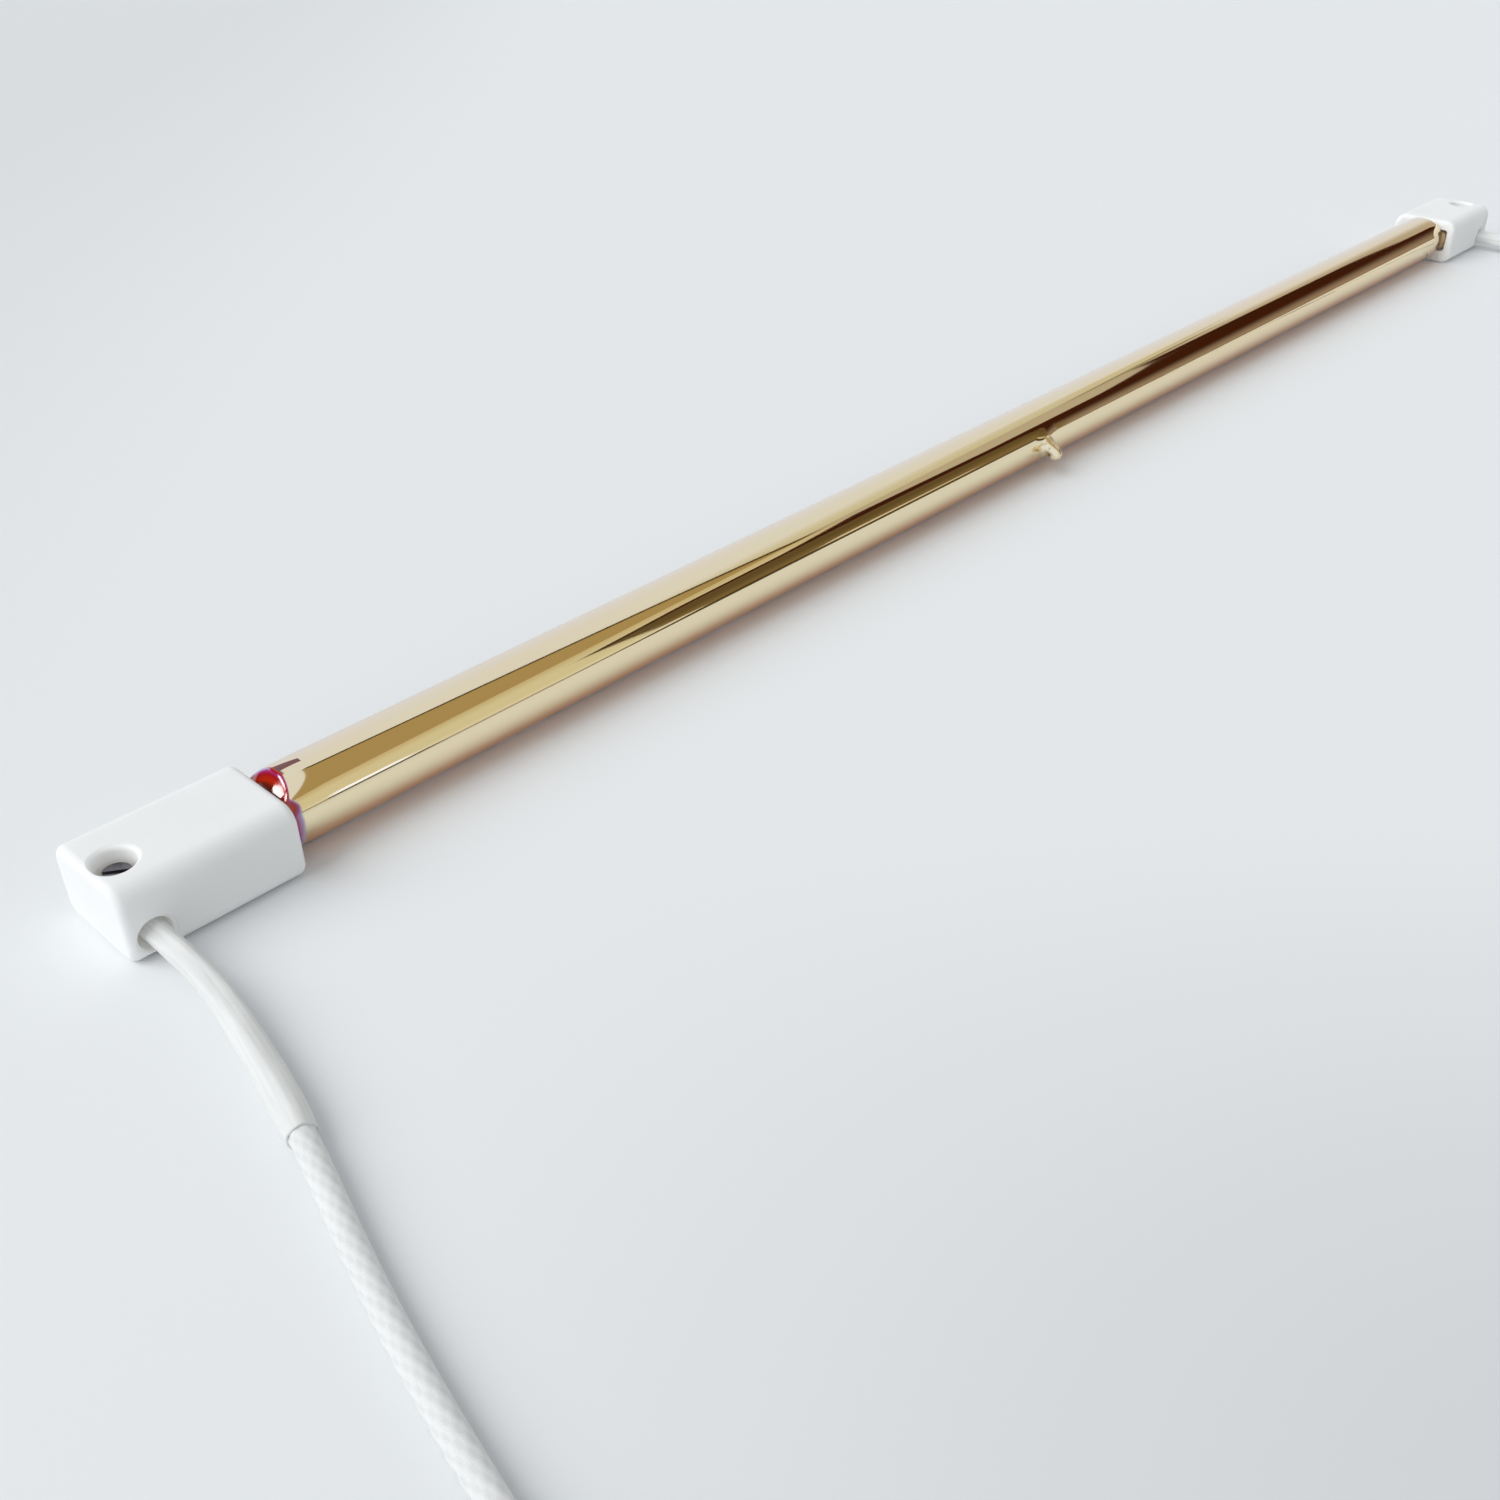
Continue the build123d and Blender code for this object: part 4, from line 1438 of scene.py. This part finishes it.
@dataclass
class Studio:
    """The floor, the room's reflections, the lights and the camera."""

    camera_place: Point = (-0.23048, -0.14101, 0.11265)
    pitch: float = math.radians(-34.210)
    roll: float = math.radians(-0.27)
    lens: float = 36.357
    sensor: float = 36.0
    nearest: float = 0.005  # that the camera sees
    floor_size: float = 3.0
    sky_colour: Colour = (0.955, 0.98, 1.0)
    sky_strength: float = 0.512
    seen_colour: Colour = (0.80, 0.82, 0.88)
    key_direction: Point = (-0.66, 0.30, 0.66)  # towards the light
    key_width: float = math.radians(56)
    key_strength: float = 2.0
    key_colour: Colour = (0.975, 0.99, 1.0)
    wall: float = 1.1  # from the tube's middle to the walls on the right and left
    ceiling: float = 1.0
    ceiling_edge: float = 0.30  # ahead of the tube's middle
    ceiling_corner: float = -0.01
    ceiling_rim: float = 0.05
    wall_end: float = -1.3  # of the lit wall, behind the camera
    layer: float = 0.001  # between things that hang on one wall

    def build(self) -> None:
        """Set up the stage."""
        self._floor()
        for card in (*self._right_cards(), *self._left_cards()):
            self._hang(card)
        self._world()
        self._key()
        self._camera()
        bpy.context.scene.view_settings.view_transform = "Standard"

    def _floor(self) -> None:
        """Lay the pale floor."""
        mesh = bmesh.new()
        bmesh.ops.create_grid(mesh, x_segments=1, y_segments=1, size=self.floor_size)
        to_object(mesh, "floor", (FloorPaint(),))

    def _on_wall(self, layers: int, *corners: tuple[float, float]) -> tuple[Point, ...]:
        """Give the corners of a card some layers in front of the right-hand wall, or behind it."""
        return upright(self.wall - layers * self.layer, *corners)

    def _right_cards(self) -> list[Card]:
        """List a ceiling behind the camera, and a lit wall with a dark doorway on its right.

        Returns:
            The cards.
        """
        edge, corner, wall, up = self.ceiling_edge, self.ceiling_corner, self.wall, self.ceiling
        rim, end = edge + self.ceiling_rim, self.wall_end
        return [
            Card("ceiling", (0.43, 0.315, 0.14), (
                (edge, corner, up), (edge, wall, up), (edge + corner - wall, wall, up))),
            Card("ceiling_rim", (0.07, 0.042, 0.012), (
                (edge, corner, up), (edge, wall, up), (rim, wall, up), (rim, corner, up))),
            Card("lit_wall", (0.71, 0.67, 0.49), self._on_wall(
                0, (end, 0.04), (end, 0.86), (-0.62, up), (0.3, up), (0.3, 0.88), (0.1, 0.72), (-0.03, 0.74),
                (-0.21, 0.6), (-0.22, 0.04)), (0.62, 0.52, 0.33), Fade.UP, (0.55, 1.0)),
            Card("low_light", (0.76, 0.73, 0.63), self._on_wall(
                4, (end, 0.08), (end, 0.19), (-0.2, 0.17), (-0.17, 0.12), (-0.2, 0.08))),
            Card("low_gleam", (1.1, 1.22, 1.6), self._on_wall(
                5, (-0.575, 0.075), (-0.56, 0.20), (-0.49, 0.185), (-0.478, 0.075))),
            Card("low_shade", (0.05, 0.03, 0.01), self._on_wall(
                12, (-0.585, 0.0), (-0.575, 0.06), (-0.46, 0.06), (-0.44, 0.0))),
            Card("doorway", (0.05, 0.012, 0.004), self._on_wall(
                0, (-0.22, 0.04), (-0.21, 0.6), (-0.03, 0.74), (0.1, 0.72), (0.3, 0.88), (0.34, 0.66),
                (0.46, 0.61), (0.70, 0.77), (1.0, 1.0), (1.0, 0.68), (0.8, 0.5), (1.0, 0.04)),
                (0.34, 0.26, 0.20), Fade.UP, (0.40, 0.02)),
            Card("door_panel", (0.13, 0.085, 0.035), self._on_wall(
                3, (-0.21, 0.05), (-0.2, 0.54), (-0.05, 0.64), (0.16, 0.60), (0.27, 0.47), (0.22, 0.30),
                (0.18, 0.05)), (0.22, 0.155, 0.065), Fade.UP, (0.42, 0.08)),
            Card("door_light", (0.70, 0.64, 0.50), self._on_wall(
                6, (-0.06, 0.12), (-0.03, 0.18), (0.1, 0.14), (0.1, 0.11), (-0.03, 0.10))),
            Card("beam", (0.34, 0.30, 0.185), self._on_wall(
                0, (0.86, 1.03), (1.0, 1.09), (1.35, 1.09), (1.35, 1.0), (1.0, 1.0))),
            Card("skirting", (0.24, 0.165, 0.09), self._on_wall(
                10, (end, 0.0), (end, 0.04), (1.6, 0.035), (1.6, 0.0))),
            Card("skirting_shade", (0.09, 0.06, 0.028), self._on_wall(
                11, (-0.32, 0.01), (-0.13, 0.13), (-0.06, 0.10), (0.16, 0.05), (0.16, 0.0), (-0.1, 0.0))),
            Card("warm_wall", (0.52, 0.46, 0.37), self._on_wall(
                -4, (0.26, 0.0), (0.26, 1.12), (1.9, 1.12), (1.9, 0.0)),
                self.seen_colour, Fade.AHEAD, (1.0, 1.75)),
            Card("warm_wall_top", (0.66, 0.62, 0.48), self._on_wall(
                -4, (0.26, 1.12), (0.26, 2.4), (1.9, 2.4), (1.9, 1.12)),
                self.seen_colour, Fade.UP, (1.12, 2.3)),
        ]

    def _left_cards(self) -> list[Card]:
        """List the dark wall on the left and the two bright panes of its window.

        Returns:
            The cards.
        """
        dark, bright = (0.03, 0.018, 0.014), (13.0, 13.0, 13.0)
        wall, pane = -self.wall, 10 * self.layer - self.wall
        return [
            Card("left_wall", dark, upright(wall, (-0.6, 0.0), (-0.6, 0.8), (0.6, 0.8), (0.6, 0.0))),
            Card("left_wall_top", dark, upright(wall, (-0.8, 0.8), (-0.8, 1.4), (0.5, 1.4), (0.5, 0.8))),
            Card("left_window", bright, upright(
                pane, (0.045, 0.622), (0.018, 0.634), (-0.111, 0.724), (-0.225, 0.812), (-0.33, 0.907),
                (-0.46, 1.03), (-0.313, 0.995), (-0.145, 0.84), (-0.012, 0.712))),
            Card("left_pane", bright, upright(
                pane, (-0.50, 1.085), (-0.58, 1.125), (-0.85, 1.42), (-0.72, 1.36))),
        ]

    def _hang(self, card: Card) -> None:
        """Hang one card, unseen by the camera and casting no light or shade on the floor.

        Args:
            card: The card.
        """
        mesh = bmesh.new()
        turn = Matrix.Rotation(HEADING, 4, "Z")
        places = [turn @ Vector((ahead, -right, up)) for ahead, right, up in card.corners]
        mesh.faces.new([mesh.verts.new(place) for place in places])
        piece = to_object(mesh, f"card_{card.name}", (card,))
        for rays in ("camera", "diffuse", "shadow", "transmission"):
            setattr(piece, f"visible_{rays}", False)

    def _world(self) -> None:
        """Light the set softly from all round, and show gloss and glass a pale room."""
        world = bpy.data.worlds.new("studio")
        bpy.context.scene.world = world
        world.use_nodes = True
        graph = Graph(world.node_tree)
        rays = graph.add("ShaderNodeLightPath").outputs
        camera, gloss, glass = (Value(graph, rays[f"Is {kind} Ray"])
                                for kind in ("Camera", "Glossy", "Transmission"))
        light, room = (graph.node("ShaderNodeBackground", inputs={"Color": colour, "Strength": strength})
                       for colour, strength in ((self.sky_colour, self.sky_strength), (self.seen_colour, 1.0)))
        surroundings = graph.blend(camera.most(gloss).most(glass), light, room)
        graph.add("ShaderNodeOutputWorld", inputs={"Surface": surroundings})

    def _key(self) -> None:
        """Add the wide, soft window light, high on the left and behind."""
        lamp = bpy.data.lights.new("window_light", "SUN")
        lamp.angle = self.key_width
        lamp.energy = self.key_strength
        lamp.color = self.key_colour
        hung = put_in_scene("window_light", lamp)
        hung.rotation_euler = (-Vector(self.key_direction)).to_track_quat("-Z", "Y").to_euler()
        hung.visible_glossy = False

    def _camera(self) -> None:
        """Set the camera where the photograph was taken from."""
        data = bpy.data.cameras.new("camera")
        data.lens = self.lens
        data.sensor_width = self.sensor
        data.clip_start = self.nearest
        camera = put_in_scene("camera", data)
        level = math.cos(self.pitch)
        ahead = Vector((level * math.cos(HEADING), level * math.sin(HEADING), math.sin(self.pitch)))
        aim = ahead.to_track_quat("-Z", "Y").to_matrix().to_4x4() @ Matrix.Rotation(self.roll, 4, "Z")
        camera.matrix_world = Matrix.Translation(self.camera_place) @ aim
        bpy.context.scene.camera = camera


def leads() -> list[Lead]:
    """List the two leads, with their routes from the cut end of the jacket to the coil.

    Returns:
        The leads, whose routes are in millimetres.
    """
    well = WELL.x / MM
    near = ((0.0, -4.4, 3.0), (0.45, -12.5, 2.95), (-0.15, -20.5, 2.65), (-1.6, -29.0, 2.3),
            (-3.55, -38.0, 2.0), (-6.0, -47.3, 1.8), (-8.85, -57.0, 1.5), (-11.55, -67.5, 1.45),
            (-13.9, -78.5, 1.5), (-16.0, -89.5, 1.75), (-17.8, -100.0, 2.1))
    far = ((0.0, -4.4, 3.0), (-0.45, -12.5, 2.95), (0.0, -20.5, 2.65), (0.8, -29.0, 2.3), (1.4, -38.0, 2.0),
           (1.7, -47.3, 1.8), (1.7, -57.0, 1.6), (1.3, -67.0, 1.75), (0.5, -77.0, 2.1))
    return [Lead(End.NEAR, [(x - well, y, z) for x, y, z in near], (7.0, 14.0, 20.0)),
            Lead(End.FAR, [(x + well, y, z) for x, y, z in far], (10.0, 20.0, 29.0))]


def main() -> None:
    """Build the part's pieces, dress the solids and set the stage."""
    logging.basicConfig(level=logging.INFO, format="%(name)s %(message)s")
    tube_low, tube_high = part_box("quartz_tube")
    coil_low, coil_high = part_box("filament")
    cap_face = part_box(End.FAR.node("end_cap"))[0].x
    axis_height = (coil_low.z + coil_high.z) / 2
    Studio().build()
    for lead in leads():
        lead.build()
    Envelope(axis_height, (tube_high.z - tube_low.z) / 2, tube_high.x, cap_face).build()
    HeatingCoil(coil_low.x, coil_high.x, axis_height, (coil_high.z - coil_low.z) / 2).build()
    Fittings().dress()


if __name__ == "__main__":
    main()
